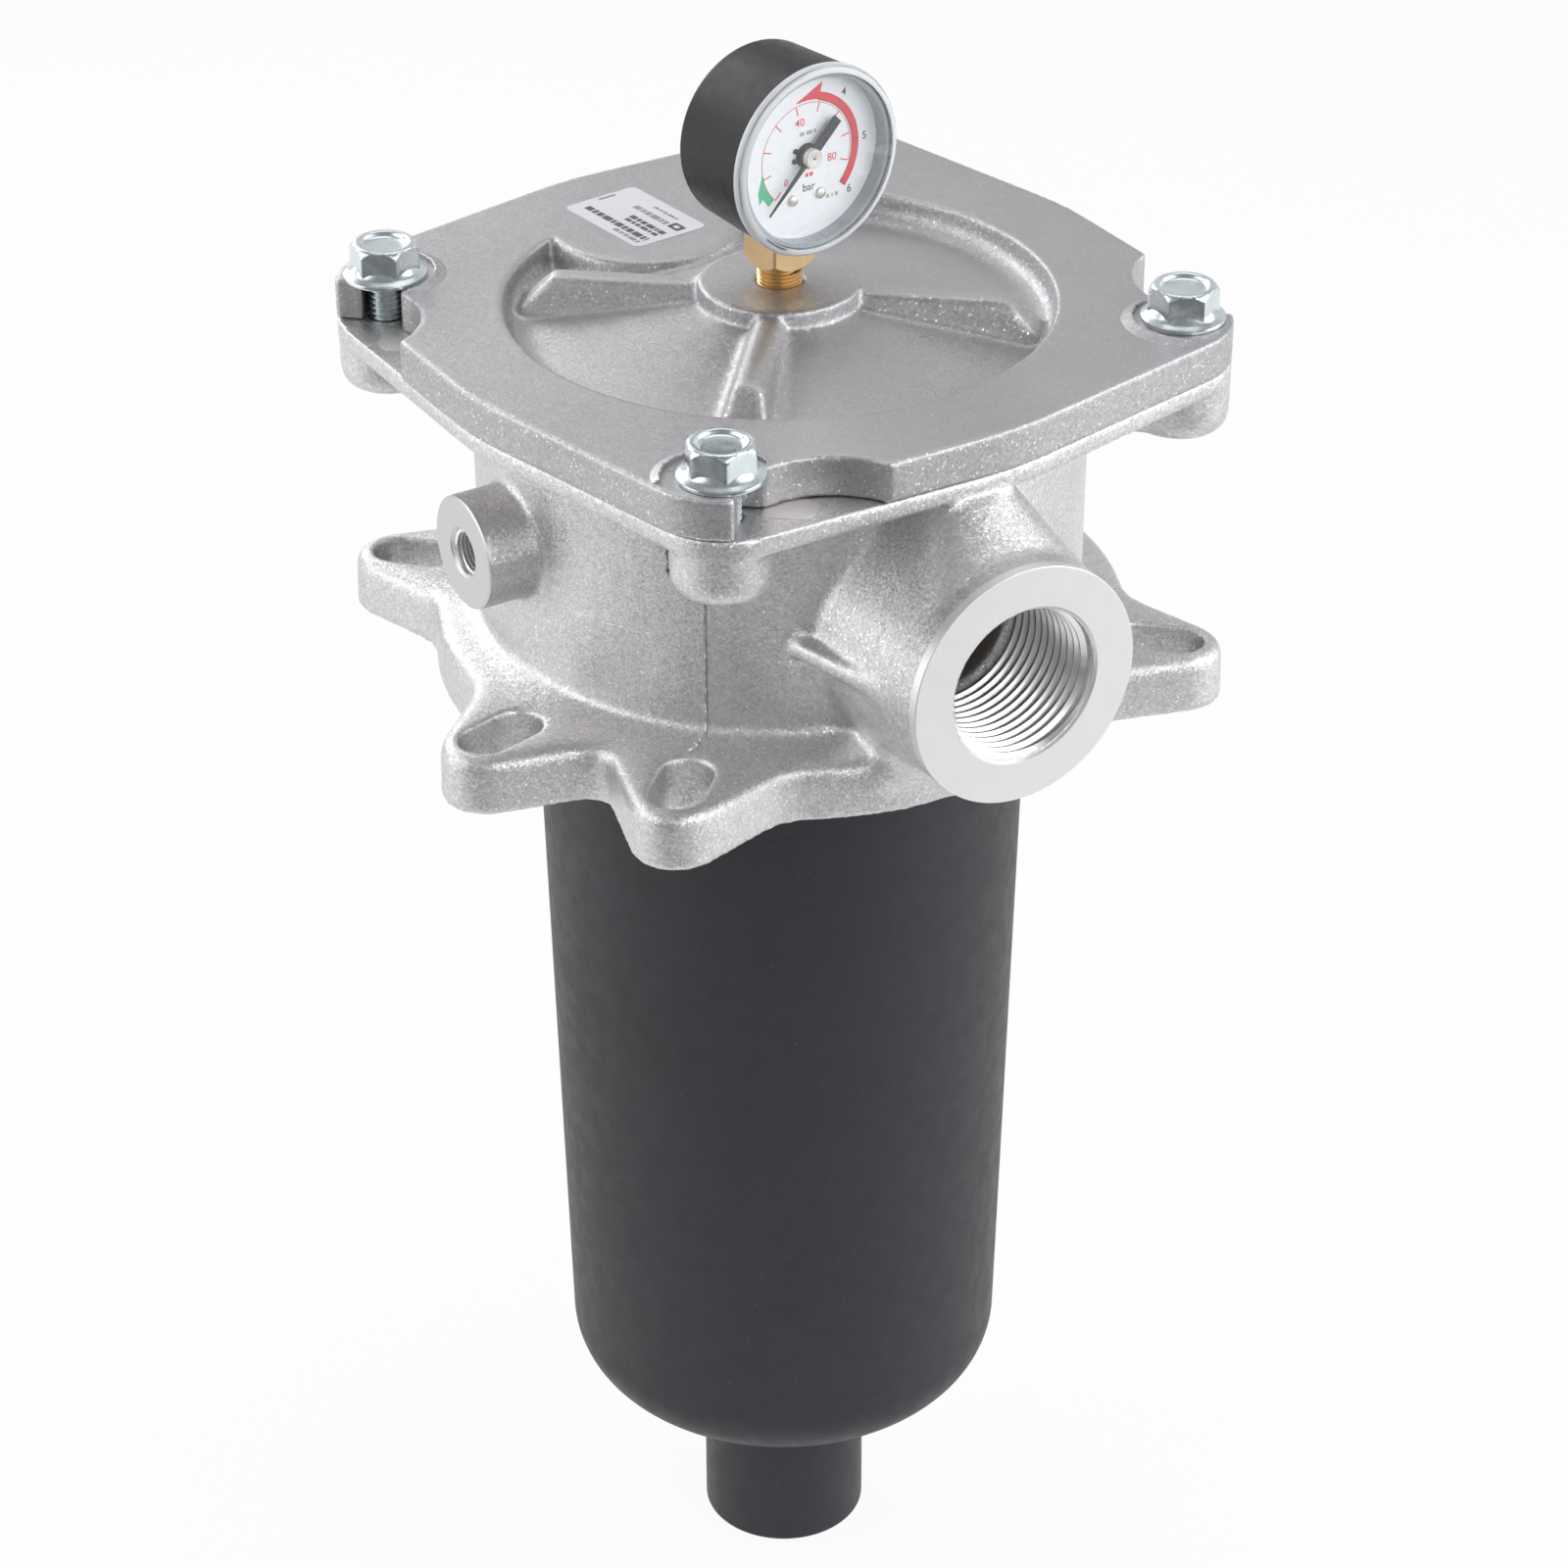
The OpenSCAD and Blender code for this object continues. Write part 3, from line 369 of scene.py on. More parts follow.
def cast_metal(name, dark, light, rough, grain, glitter, cell, sparks, top, edge_wear_and_highlight):
    """Cast aluminium: soft blotches, fine grain, small glinting cells and lighter edges.

    The glinting cells are lightened in the base colour as a painted highlight, and the edges as
    wear and as a painted highlight. sparks is the strength of sand and glints, top their share on
    faces that look up, and the last argument the strength of the lighter edges."""
    n = Nodes(name)
    blotch = n.ramp(n.noise(24, 4, 0.55), (0.3, dark), (0.7, light))
    upward = n.node("ShaderNodeSeparateXYZ", Vector=n.geometry("Normal")).outputs[2]
    wall = n.ramp(upward, (0.8, 1.0), (0.97, top))
    sand = n.ramp(n.voronoi(2100), (0.2, 1 - sparks * 0.25), (0.8, 1.0))
    tone = n.mix(wall, blotch, n.mix(1.0, blotch, sand, "MULTIPLY"))
    stain = n.ramp(n.noise(75, 5, 0.65), (0.60, 0.0), (0.78, 0.12))
    tone = n.mix(stain, tone, scaled(dark, 0.84))
    # Lighter convex edges, found by Pointiness: partly wear, partly a painted highlight
    edge = n.ramp(n.geometry("Pointiness"), (0.52, 0.0), (0.6, 1.0))
    tone = n.mix(n.math("MULTIPLY", edge, edge_wear_and_highlight), tone, (0.88, 0.88, 0.88))
    # A painted highlight: a few cells are lightened in the base colour as glints, mostly on walls
    glint = n.ramp(n.voronoi(cell), (0.84, 0.0), (0.9, 1.0))
    tone = n.mix(n.math("MULTIPLY", n.math("MULTIPLY", glint, sparks), wall), tone, (1.0, 1.0, 1.0))
    r = n.ramp(n.noise(500, 3), (0.3, rough - 0.05), (0.7, rough + 0.05))
    r = n.math("SUBTRACT", r, n.math("MULTIPLY", glint, 0.16), True)
    wave = n.bump(n.noise(60, 2, 0.4), 0.08, 0.0009, n.sparkle(cell, glitter))
    nrm = n.bump(n.noise(2600, 2, 0.6), grain, 0.00016, wave)
    n.set(Base_Color=tone, Metallic=1.0, Roughness=r, Normal=nrm)
    return n.mat


def plain(name, color, rough, metallic=0.0, vary=0.1, grain=0.15, scale=800, **extra):
    n = Nodes(name)
    c = n.ramp(n.noise(90, 4), (0.3, scaled(color, 1 - vary)), (0.7, scaled(color, 1 + vary)))
    r = n.ramp(n.noise(400, 3), (0.3, max(0.02, rough - 0.06)), (0.7, min(1, rough + 0.06)))
    n.set(Base_Color=c, Metallic=metallic, Roughness=r,
          Normal=n.bump(n.noise(scale, 3), grain, 0.0001), **extra)
    return n.mat


def machined(name, color, rough, lines, axis):
    """Turned metal: fine rings round an axis, given by the two coordinates across it and the second's middle."""
    n = Nodes(name)
    sep = n.node("ShaderNodeSeparateXYZ", Vector=n.co)
    a, b, height = axis
    rad = n.length(sep.outputs[a], n.math("SUBTRACT", sep.outputs[b], height))
    along = n.node("ShaderNodeCombineXYZ", X=n.math("MULTIPLY", rad, lines)).outputs[0]
    ring = n.noise(1.0, 2, 0.6, along)
    tone = n.ramp(ring, (0.3, scaled(color, 0.93)), (0.7, color))
    tone = n.mix(n.ramp(n.noise(160, 4), (0.35, 0.0), (0.75, 0.18)), tone, scaled(color, 0.8))
    n.set(Base_Color=tone, Metallic=1.0, Roughness=n.ramp(ring, (0.3, rough - 0.08), (0.7, rough + 0.08)),
          Normal=n.bump(ring, 0.25, 0.00006))
    return n.mat


def bowl_plastic(name, base, rough, speck):
    n = Nodes(name)
    tone = n.ramp(n.noise(30, 5, 0.6), (0.3, scaled(base, 0.88)), (0.7, scaled(base, 1.12)))
    dots = n.ramp(n.voronoi(900, "Distance"), (0.0, 1.0), (0.16, 0.0))
    keep = n.ramp(n.voronoi(900), (0.86, 0.0), (0.9, 1.0))
    spots = n.math("MULTIPLY", n.math("MULTIPLY", dots, keep), speck)
    tone = n.mix(spots, tone, (0.25, 0.25, 0.26))
    r = n.ramp(n.noise(220, 4), (0.3, rough - 0.05), (0.7, rough + 0.06))
    n.set(Base_Color=tone, Roughness=r, Specular_IOR_Level=0.45,
          Normal=n.bump(n.noise(1800, 2), 0.35, 0.00012))
    return n.mat


M = {
    "head": cast_metal("cast_head", (0.70, 0.685, 0.69), (0.76, 0.745, 0.75), 0.47, 0.45, 0.23, 2700,
                       0.8, 1.0, 0.6),
    "cover": cast_metal("cast_cover", (0.505, 0.497, 0.51), (0.555, 0.547, 0.56), 0.48, 0.38, 0.18, 2600,
                        0.75, 0.25, 0.4),
    "inlet_face": machined("turned_face", (0.87, 0.87, 0.875), 0.44, 5200, (1, 2, INLET_Z * MM)),
    "side_face": machined("milled_face", (0.66, 0.655, 0.66), 0.42, 5200, (0, 2, SIDE_Z * MM)),
    "bowl": bowl_plastic("bowl_plastic", (0.0155, 0.0165, 0.022), 0.5, 0.7),
    "case": plain("case_black", (0.0088, 0.0092, 0.0135), 0.42, 0, 0.2, 0.35, 1600, Specular_IOR_Level=0.4),
}
# Key, name, colour, roughness, metallic, spread of tone, grain and its scale
for key, *values in (
        ("thread", "cut_thread", (0.93, 0.93, 0.93), 0.36, 1.0, 0.06, 0.1),
        ("zinc", "zinc_plate", (0.72, 0.785, 0.81), 0.25, 1.0, 0.1, 0.22, 420),
        ("brass", "turned_brass", (0.80, 0.585, 0.32), 0.38, 1.0, 0.08, 0.2),
        ("rubber", "seal_rubber", (0.02, 0.02, 0.02), 0.55, 0, 0.15, 0.3),
        ("landing", "pressed_landing", (0.76, 0.745, 0.72), 0.6, 1.0, 0.06, 0.3),
        ("steel", "plated_steel", (0.62, 0.62, 0.6), 0.32, 1.0, 0.08, 0.2),
        ("spring", "spring_steel", (0.4, 0.4, 0.41), 0.28, 1.0, 0.1, 0.2),
        ("paper", "filter_paper", (0.78, 0.7, 0.5), 0.85, 0, 0.07, 0.6, 1500),
        ("nylon", "dark_nylon", (0.05, 0.05, 0.055), 0.45, 0, 0.1, 0.3),
        ("acetal", "white_acetal", (0.75, 0.72, 0.65), 0.4, 0, 0.05, 0.2),
        ("dial", "dial_enamel", (0.93, 0.94, 0.965), 0.3, 0, 0.015, 0.05),
        ("ink_black", "ink_black", (0.03, 0.03, 0.035), 0.45, 0, 0.1, 0.1),
        ("ink_red", "ink_red", (0.80, 0.055, 0.08), 0.45, 0, 0.06, 0.1),
        ("ink_pale", "ink_pale", (0.42, 0.43, 0.45), 0.5, 0, 0.1, 0.1),
        ("skirt", "frosted_skirt", (0.42, 0.45, 0.475), 0.3, 0, 0.12, 0.2, 600),
        ("ink_green", "ink_green", (0.10, 0.50, 0.29), 0.45, 0, 0.06, 0.1),
        ("pointer", "pointer_black", (0.02, 0.02, 0.022), 0.4, 0, 0.1, 0.1),
        ("nickel", "nickel", (0.78, 0.75, 0.69), 0.4, 1.0, 0.06, 0.1),
        ("film", "label_film", (0.76, 0.77, 0.795), 0.35, 0, 0.02, 0.15, 300),
        ("print", "label_print", (0.10, 0.10, 0.115), 0.5, 0, 0.1, 0.1),
        ("print_pale", "label_print_pale", (0.30, 0.30, 0.32), 0.5, 0, 0.1, 0.1),
        ("seam", "seam_shade", (0.30, 0.295, 0.30), 0.6, 0.7, 0.2, 0.2),
        ("gap", "dark_gap", (0.03, 0.028, 0.027), 0.7, 0, 0.3, 0.3)):
    M[key] = plain(*values)


def window_glass():
    """Clear acrylic that lets the lamps' light through to the dial."""
    n = Nodes("clear_acrylic")
    n.set(Base_Color=(0.97, 0.985, 0.99), Roughness=0.02, IOR=1.49, Transmission_Weight=1.0)
    path = n.node("ShaderNodeLightPath")
    n.trade(n.math("MAXIMUM", path.outputs["Is Shadow Ray"], path.outputs["Is Diffuse Ray"]),
            n.node("ShaderNodeBsdfTransparent", i0=(0.99, 0.995, 1)))
    return n.mat


def rim_acrylic():
    """The window's thick rim: clear plastic with painted rings of refracted light and shade that follow its
    edge.
    """
    n = Nodes("rim_acrylic")
    t = math.radians(GAUGE_TURN)
    sep = n.node("ShaderNodeSeparateXYZ", Vector=n.co)
    x, y, z = sep.outputs[0], sep.outputs[1], n.math("SUBTRACT", sep.outputs[2], GAUGE_Z * MM)
    along = n.math("ADD", n.math("MULTIPLY", x, math.cos(t)), n.math("MULTIPLY", y, math.sin(t)))
    across = n.math("SUBTRACT", n.math("MULTIPLY", y, math.cos(t)), n.math("MULTIPLY", x, math.sin(t)))
    where = n.node("ShaderNodeCombineXYZ", X=n.math("MULTIPLY", n.length(across, z), 1100),
                   Y=n.math("MULTIPLY", along, 900), Z=n.math("MULTIPLY", n.noise(55, 3), 1.6)).outputs[0]
    # Painted light and shade: rings of light and dark in the base colour round the rim
    tone = n.ramp(n.noise(1.0, 3, 0.55, where), (0.38, (0.17, 0.20, 0.24)), (0.44, (0.72, 0.77, 0.81)),
                  (0.51, (0.97, 0.985, 1.0)))
    n.set(Base_Color=tone, Roughness=0.07, IOR=1.49, Transmission_Weight=0.3,
          Normal=n.bump(n.noise(240, 2), 0.25, 0.0004))
    return n.mat


M["glass"] = window_glass()
M["rim"] = rim_acrylic()


# ---- castings

def blend01(v, lo, hi):
    return np.clip((v - lo) / (hi - lo), 0, 1)


def near_slots(co):
    """Each point's distance in plan from the nearest flange slot's wall."""
    best = np.full(len(co), 99.0)
    for a in EARS:
        t = math.radians(a)
        u = co[:, 0] * math.cos(t) + co[:, 1] * math.sin(t)
        v = -co[:, 0] * math.sin(t) + co[:, 1] * math.cos(t)
        du = np.maximum(np.maximum(SLOT_IN - u, u - SLOT_OUT), 0)
        best = np.minimum(best, np.abs(np.hypot(du, v) - SLOT_R))
    return best


def from_bolt(co, k):
    """Each point's distance in plan from a cover bolt's axis."""
    x, y = polar(BOLT_PC, TWIST + 90 * k)
    return np.hypot(co[:, 0] - x, co[:, 1] - y)


def shape_head(co, ed):
    r = np.hypot(co[:, 0], co[:, 1])
    port = np.hypot(co[:, 1], co[:, 2] - INLET_Z)
    on_face = (co[:, 0] > INLET_X - 4) & (port < INLET_R + 2)
    inside = (r < 60) | (port < INLET_BORE + 1.2) & (co[:, 0] > 50)
    # The plate under the cover keeps a crisper edge than the rest
    plate = 0.55 * blend01(co[:, 2], PLATE_Z - 0.6, PLATE_Z + 0.4)
    plate = plate + 0.3 * blend01(co[:, 2], HEAD_H - 2.2, HEAD_H - 1.2)
    keep = np.where(inside | on_face, 0.25, 1.0 - plate)
    co = smooth_points(co, ed, keep, 6)
    # The tank flange's soft upper edge, without its slots
    w = blend01(near_slots(co), 0.5, 2.6) * blend01(r, 66, 70)
    w = w * (1 - blend01(co[:, 2], 18, 26)) * blend01(co[:, 2], 1.0, 5.0)
    co = smooth_points(co, ed, w * (1 - on_face), 52)
    # The hollow between neck and body, without the rib along the parting plane
    neck = (1 - blend01(np.abs(port - INLET_R), 4, 12)) * blend01(co[:, 0], 50, 56)
    neck = neck * (1 - blend01(co[:, 0], 80, 88))
    neck = neck * (blend01(r, 60.5, 62) * (1 - blend01(co[:, 2], 66, 69)))
    rib = 1 - blend01(np.abs(co[:, 2] - INLET_Z), 2.5, 7)
    rib = rib * blend01(np.abs(co[:, 1]), INLET_R - 2, INLET_R + 1)
    co = smooth_points(co, ed, neck * (1 - 0.85 * rib), 42)
    # The bolt bosses grow softly out of the wall
    for k in range(4):
        w = (1 - blend01(from_bolt(co, k), 15, 22)) * (1 - blend01(co[:, 2], 66.5, 69.5))
        w = w * blend01(co[:, 2], 50, 54) * blend01(r, 61, 63)
        co = smooth_points(co, ed, w, 9)
    # Room for the machined faces
    co[:, 0] = np.where((port < INLET_R + 3) & (co[:, 0] > INLET_X - 0.5), INLET_X - 0.5, co[:, 0])
    side = np.hypot(co[:, 0], co[:, 2] - SIDE_Z)
    co[:, 1] = np.where((side < SIDE_R + 3) & (co[:, 1] < -SIDE_Y + 0.4), -SIDE_Y + 0.4, co[:, 1])
    return co


def shape_cover(co, ed):
    r = np.hypot(co[:, 0], co[:, 1])
    # The crescents by the bolts are pieces of their own
    for k in range(4):
        co[:, 2] = np.where((co[:, 2] > COVER_Z + 0.05) & (from_bolt(co, k) < 16), COVER_Z, co[:, 2])
    under = 1 - blend01(co[:, 2], HEAD_H + 0.3, HEAD_H + 1.2)
    co = smooth_points(co, ed, 1 - 0.5 * under, 4)
    dish = (1 - blend01(r, 53, 56)) * blend01(co[:, 2], 76, 76.5) * blend01(r, BOSS_R + 0.6, BOSS_R + 3)
    co = smooth_points(co, ed, dish, 12)
    # The rib towards the front bolt is the softest
    front = np.exp(-((np.degrees(np.arctan2(co[:, 1], co[:, 0])) + 38.7) / 18) ** 2)
    co = smooth_points(co, ed, dish * front, 30)
    # A fine gap shows between cover and head outside the plug
    low = (r > 60.5) & (co[:, 2] < HEAD_H + 0.32)
    co[:, 2] = np.where(low, HEAD_H + 0.32, co[:, 2])
    return co


head = cast_copy("head", "head_casting", M["head"], voxel=0.7, budget=196000, shape=shape_head)
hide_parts("head")
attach(head, "housing")
cover = cast_copy("cover", "cover_casting", M["cover"], voxel=0.55, budget=190000, shape=shape_cover)
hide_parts("cover")
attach(cover, "lid")

# Machined port faces, a profile each, and cut threads
TO_X = Matrix(((0, 0, 1, 0), (1, 0, 0, 0), (0, 1, 0, 0), (0, 0, 0, 1)))
inlet_m = move(0, 0, INLET_Z) @ TO_X
face = lathe("inlet_face", [(16.75, 91.5), (16.75, 93.9), (17.35, 94.68), (25.85, 94.68), (25.99, 94.55),
                            (26.0, 92.4), (24.6, 92.0)], M["inlet_face"], 192, inlet_m, 25)
screw = thread("inlet_thread", 16.62, 15.6, G1_PITCH, INLET_X - 34, INLET_X - 0.1, M["thread"], 120,
               inlet_m, 2.2, 0.1)
for o in (face, screw):
    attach(o, "housing")
TO_MY = Matrix(((1, 0, 0, 0), (0, 0, -1, 0), (0, 1, 0, 0), (0, 0, 0, 1)))
side_m = move(0, 0, SIDE_Z) @ TO_MY
face = lathe("side_face", [(4.9, 73.5), (4.9, 75.7), (5.6, 76.35), (11.7, 76.35), (12.1, 76.1), (12.15, 75.4),
                           (11.0, 74.8)], M["side_face"], 96, side_m, 25)
screw = thread("side_thread", 4.88, 4.3, G18_PITCH, SIDE_Y - 12, SIDE_Y - 0.4, M["thread"], 48, side_m)
for o in (face, screw):
    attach(o, "housing")


# ---- marks that the casting and fitting leave on the metal

skin = BVHTree.FromPolygons([v.co for v in head.data.vertices],
                            [tuple(f.vertices) for f in head.data.polygons])


def on_skin(origin, aim):
    """The casting's surface and its normal, seen from a point towards another, in millimetres."""
    o = Vector(origin) * MM
    hit, normal, _, _ = skin.ray_cast(o, (Vector(aim) * MM - o).normalized())
    return hit / MM, normal


def bead(name, rays, width, height, mat, ragged=0.3, seed=1, sink=0.12):
    """A low ridge that follows the casting's surface along a row of rays."""
    rng = np.random.default_rng(seed)
    pts = [on_skin(*r) for r in rays]
    verts = []
    for i, (p, n) in enumerate(pts):
        along = (pts[min(i + 1, len(pts) - 1)][0] - pts[max(i - 1, 0)][0]).normalized()
        side = n.cross(along).normalized()
        end = min(1, i / 3 + 0.15, (len(pts) - 1 - i) / 3 + 0.15)
        w = width * end * (1 + ragged * rng.uniform(-1, 1)) / 2
        h = height * end * (1 + ragged * rng.uniform(-1, 1))
        p = p + side * rng.uniform(-1, 1) * width * ragged * 0.25
        verts += [tuple(p - side * w - n * sink), tuple(p - side * w * 0.35 + n * h),
                  tuple(p + side * w * 0.35 + n * h * 0.9), tuple(p + side * w - n * sink)]
    faces = grid_faces(len(pts), 4) + [(0, 1, 2, 3), tuple(reversed(range(len(verts) - 4, len(verts))))]
    return new_object(name, verts, faces, mat, 50)


def wall_ray(a, z, r=120):
    return (*polar(r, a), z), (0, 0, z)


def down_ray(r, a, z=40):
    return (*polar(r, a), z), (*polar(r, a), 0)


def wall_line(a, z, n, drop=0.6, wave=0.0):
    """Rays down the wall from height z, a drop apart, swaying to either side by a wave in degrees."""
    return [wall_ray(a + wave * math.sin(i * 0.9), z - drop * i) for i in range(n)]


foot_line = [down_ray(66.0 + 0.31 * i, -44.9 - 2.1 * (i / 19) ** 1.5) for i in range(20)]
joint_line = [wall_ray(a, 35.2 + 0.15 * math.sin(a)) for a in np.arange(-118, -52, 0.7)]
# parting_shade is a painted shade: a mid-grey line along the side of the bright flash
marks = [bead("parting_flash", wall_line(-44.8, 56, 72), 0.95, 0.5, M["head"], 0.3, 3),
         bead("parting_flash_foot", foot_line, 0.9, 0.4, M["head"], 0.4, 5),
         bead("parting_shade", wall_line(-44.3, 55.5, 70), 0.34, 0.1, M["seam"], 0.5, 4, 0.05),
         bead("parting_flash_far", wall_line(135, 56, 67), 0.8, 0.28, M["head"], 0.35, 7),
         bead("flash_slit", wall_line(-50.6, 64.5, 31, 0.5, 0.25), 1.4, 0.1, M["gap"], 0.5, 11),
         bead("flash_burr", wall_line(-51.4, 64.5, 32, 0.5, 0.2), 0.5, 0.4, M["head"], 0.5, 12)]
for i, (a, z, n) in enumerate(((-43.6, 47.2, 6), (-41.0, 46.6, 8), (-37.8, 47.6, 7))):
    marks.append(bead("boss_dash_%d" % i, [wall_ray(a + 0.35 * j, z) for j in range(n)], 0.5, 0.25, M["head"],
                      0.4, 20 + i))
marks.append(bead("mould_joint", joint_line, 0.5, 0.06, M["head"], 0.4, 31))
for o in marks:
    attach(o, "housing")


def crescent(name, k, r0=11.2, r1=14.0, cx=1.0, cy=-0.4, a0=132, a1=286, height=1.05, n=44):
    """A raised arc beside a bolt: steep on the inside, falling away outwards, broken off at its ends."""
    verts = []
    for i in range(n + 1):
        t = i / n
        a = math.radians(a0 + (a1 - a0) * t)
        wob = 0.07 * math.sin(i * 2.3 + k) + 0.05 * math.sin(i * 5.1 + 2 * k)
        h = height * (0.82 + 0.18 * math.sin(math.pi * t)) + wob * height
        w = (r1 - r0) * (0.55 + 0.45 * math.sin(math.pi * t) ** 0.5)
        rows = [(r0, -0.6), (r0 + wob * 0.4, 0.02), (r0 + 0.12 + wob, h * 0.85), (r0 + 0.4 + wob, h),
                (r0 + w * 0.45, h * 0.72), (r0 + w * 0.8, h * 0.2), (r0 + w, -0.02), (r0 + w, -0.6)]
        verts += [(cx + rr * math.cos(a), cy + rr * math.sin(a), COVER_Z + z) for rr, z in rows]
    faces = [tuple(reversed(f)) for f in grid_faces(n + 1, 8)]
    faces += [tuple(range(8)), tuple(reversed(range(n * 8, n * 8 + 8)))]
    return new_object(name, verts, faces, M["cover"], 42, at_bolt(k))


for k in range(4):
    o = crescent("seat_lip_%d" % (k + 1), k)
    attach(o, "lid")


def seat_pad(name, k, r=4.6, length=6):
    """The smoother landing that a bolt's flange and the cover leave on the plate, with a rounded end."""
    mid = polar(79.6, 9.8)
    out = [(mid[0] + x, mid[1] + y) for x, y in (polar(r, a) for a in range(-10, 191, 8))]
    ring = [(mid[0] + r, mid[1] - length)] + out + [(mid[0] - r, mid[1] - length)]
    verts = [(x, y, HEAD_H - 0.5) for x, y in ring] + [(x, y, HEAD_H + 0.1) for x, y in ring]
    return new_object(name, verts, prism_faces(len(ring)), M["landing"], 30, spin(TWIST + 90 * k))


for k in range(4):
    o = seat_pad("seat_pad_%d" % (k + 1), k)
    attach(o, "housing")


# ---- cover bolts

def flange_bolt(name, matrix):
    """Hexagon flange bolt: dished head, chamfered corners, pressed washer and a cut thread."""
    segs = 96
    # The hexagon's heights, each with the radius that its corners are cut to, and the dish in its top
    levels = [(1.2, 7.45), (2.0, 7.42), (5.8, 7.42), (6.3, 7.42), (6.7, 7.2), (7.05, 6.95), (7.35, 6.7),
              (7.58, 6.4), (7.68, 6.1)]
    dish = [(5.75, 7.7), (5.35, 7.69), (5.05, 7.5), (4.85, 7.05), (4.55, 6.78), (4.0, 6.66), (2.6, 6.62),
            (0.6, 6.6)]
    verts = []
    for z, cap in levels:
        for j in range(segs):
            a = TAU * j / segs
            r = min(BOLT_AF / 2 / math.cos((a % (TAU / 6)) - TAU / 12), cap)
            verts.append((r * math.cos(a), r * math.sin(a), z))
    for r, z in dish:
        verts += circle(r, z, segs)
    rows = len(levels) + len(dish)
    faces = grid_faces(rows, segs) + [tuple(range((rows - 1) * segs, rows * segs))]
    washer = [(4.1, 0.0), (8.6, 0.0), (8.9, 0.12), (8.95, 0.5), (8.85, 0.9), (8.5, 1.15), (7.9, 1.45),
              (7.3, 1.9), (6.9, 2.5), (6.4, 3.0)]
    shank = [(0, -BOLT_L), (2.9, -BOLT_L), (3.35, -BOLT_L + 0.5), (3.35, -1.2), (3.9, -0.6), (4.4, 0.02)]
    o = join(name, [new_object(name + "_h", verts, faces, M["zinc"], 28),
                    lathe(name + "_w", washer, M["zinc"], 96, None, 40),
                    lathe(name + "_s", shank, M["zinc"], 48, None, 40),
                    thread(name + "_t", 3.36, 3.98, M8_PITCH, -BOLT_L + 0.4, -0.5, M["zinc"], 40)])
    o.data.transform(matrix)
    return o


bolts = [flange_bolt("cover_bolt_%d" % (k + 1), at_bolt(k, COVER_Z) @ spin(turn))
         for k, turn in enumerate((8, 23, 2, 17))]
for o in bolts:
    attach(o, "housing")
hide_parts("cover_bolts")


# ---- bowl

low_r = BOWL_R - BOWL_TAPER * (LEDGE_Z + BOWL_DEPTH - BOWL_CORNER)
outer = [(COLLAR_R, LEDGE_Z + COLLAR_H), (COLLAR_R, LEDGE_Z + 6), (COLLAR_R - 2.8, LEDGE_Z + 6),
         (COLLAR_R - 2.8, LEDGE_Z + 2), (COLLAR_R, LEDGE_Z + 2), (COLLAR_R, LEDGE_Z), (BOWL_R, LEDGE_Z)]
outer += [(BOWL_R + (low_r - BOWL_R) * t / 12, LEDGE_Z + (-BOWL_DEPTH + BOWL_CORNER - LEDGE_Z) * t / 12)
          for t in range(1, 13)]
outer += arc(low_r - BOWL_CORNER, -BOWL_DEPTH + BOWL_CORNER, BOWL_CORNER, 0, -90, 20)[1:]
# The spigot, its bore and the neck inside, then up the inner wall
bottom = -BOWL_DEPTH - SPIGOT_L
outer += arc(SPIGOT_R + 0.8, -BOWL_DEPTH - 0.8, 0.8, 90, 180, 5)
outer += [(SPIGOT_R, -BOWL_DEPTH - 12), (SPIGOT_R, bottom + 1.3)]
outer += arc(SPIGOT_R - 1.2, bottom + 1.2, 1.2, 0, -90, 6)
outer += [(SPIGOT_BORE + 1, bottom + 0.02), (SPIGOT_BORE, bottom + 1), (SPIGOT_BORE, -BOWL_DEPTH + NECK_H),
          (SPIGOT_R, -BOWL_DEPTH + NECK_H), (SPIGOT_R, -BOWL_DEPTH + BOWL_WALL)]
in_low = low_r - BOWL_WALL
corner = BOWL_CORNER - BOWL_WALL / 2
outer += arc(in_low - corner, -BOWL_DEPTH + BOWL_WALL + corner, corner, -90, 0, 10)
outer += [(BOWL_R - BOWL_WALL, LEDGE_Z), (BOWL_R - BOWL_WALL, LEDGE_Z + COLLAR_H)]
bowl = lathe("filter_bowl", outer, M["bowl"], 224, None, 35, closed=True, flip=True)
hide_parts("bowl")
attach(bowl, "housing")


# ---- gauge, in its own frame: X forward, Z up

gauge_m = move(0, 0, GAUGE_Z) @ spin(GAUGE_TURN)
# A lathe's Z becomes forward, its X the right-hand side seen from the front, its Y up
turned_m = gauge_m @ TO_X


def on_dial(points, x0, x1, name, mat):
    """A thin flat piece on the dial. Its outline is anticlockwise (right, up) points seen from the front."""
    verts = [(x0, u, v) for u, v in points] + [(x1, u, v) for u, v in points]
    return new_object(name, verts, prism_faces(len(points)), mat, 30, gauge_m)


def clock(r, a):
    """Right and up of a point at radius r and clock angle a, 0 at the top and clockwise."""
    return r * math.sin(math.radians(a)), r * math.cos(math.radians(a))


def band(r0, r1, a0, a1, n=40):
    lo, hi = ([clock(r, a0 + (a1 - a0) * i / n) for i in range(n + 1)] for r in (r0, r1))
    ring = lo + hi[::-1]
    area = sum(p[0] * q[1] - q[0] * p[1] for p, q in zip(ring, ring[1:] + ring[:1]))
    return ring if area > 0 else ring[::-1]


def tick(r0, r1, a, w):
    (x0, y0), (x1, y1) = clock(r0, a), clock(r1, a)
    dx, dy = math.cos(math.radians(a)) * w / 2, -math.sin(math.radians(a)) * w / 2
    return [(x0 - dx, y0 - dy), (x0 + dx, y0 + dy), (x1 + dx, y1 + dy), (x1 - dx, y1 - dy)]


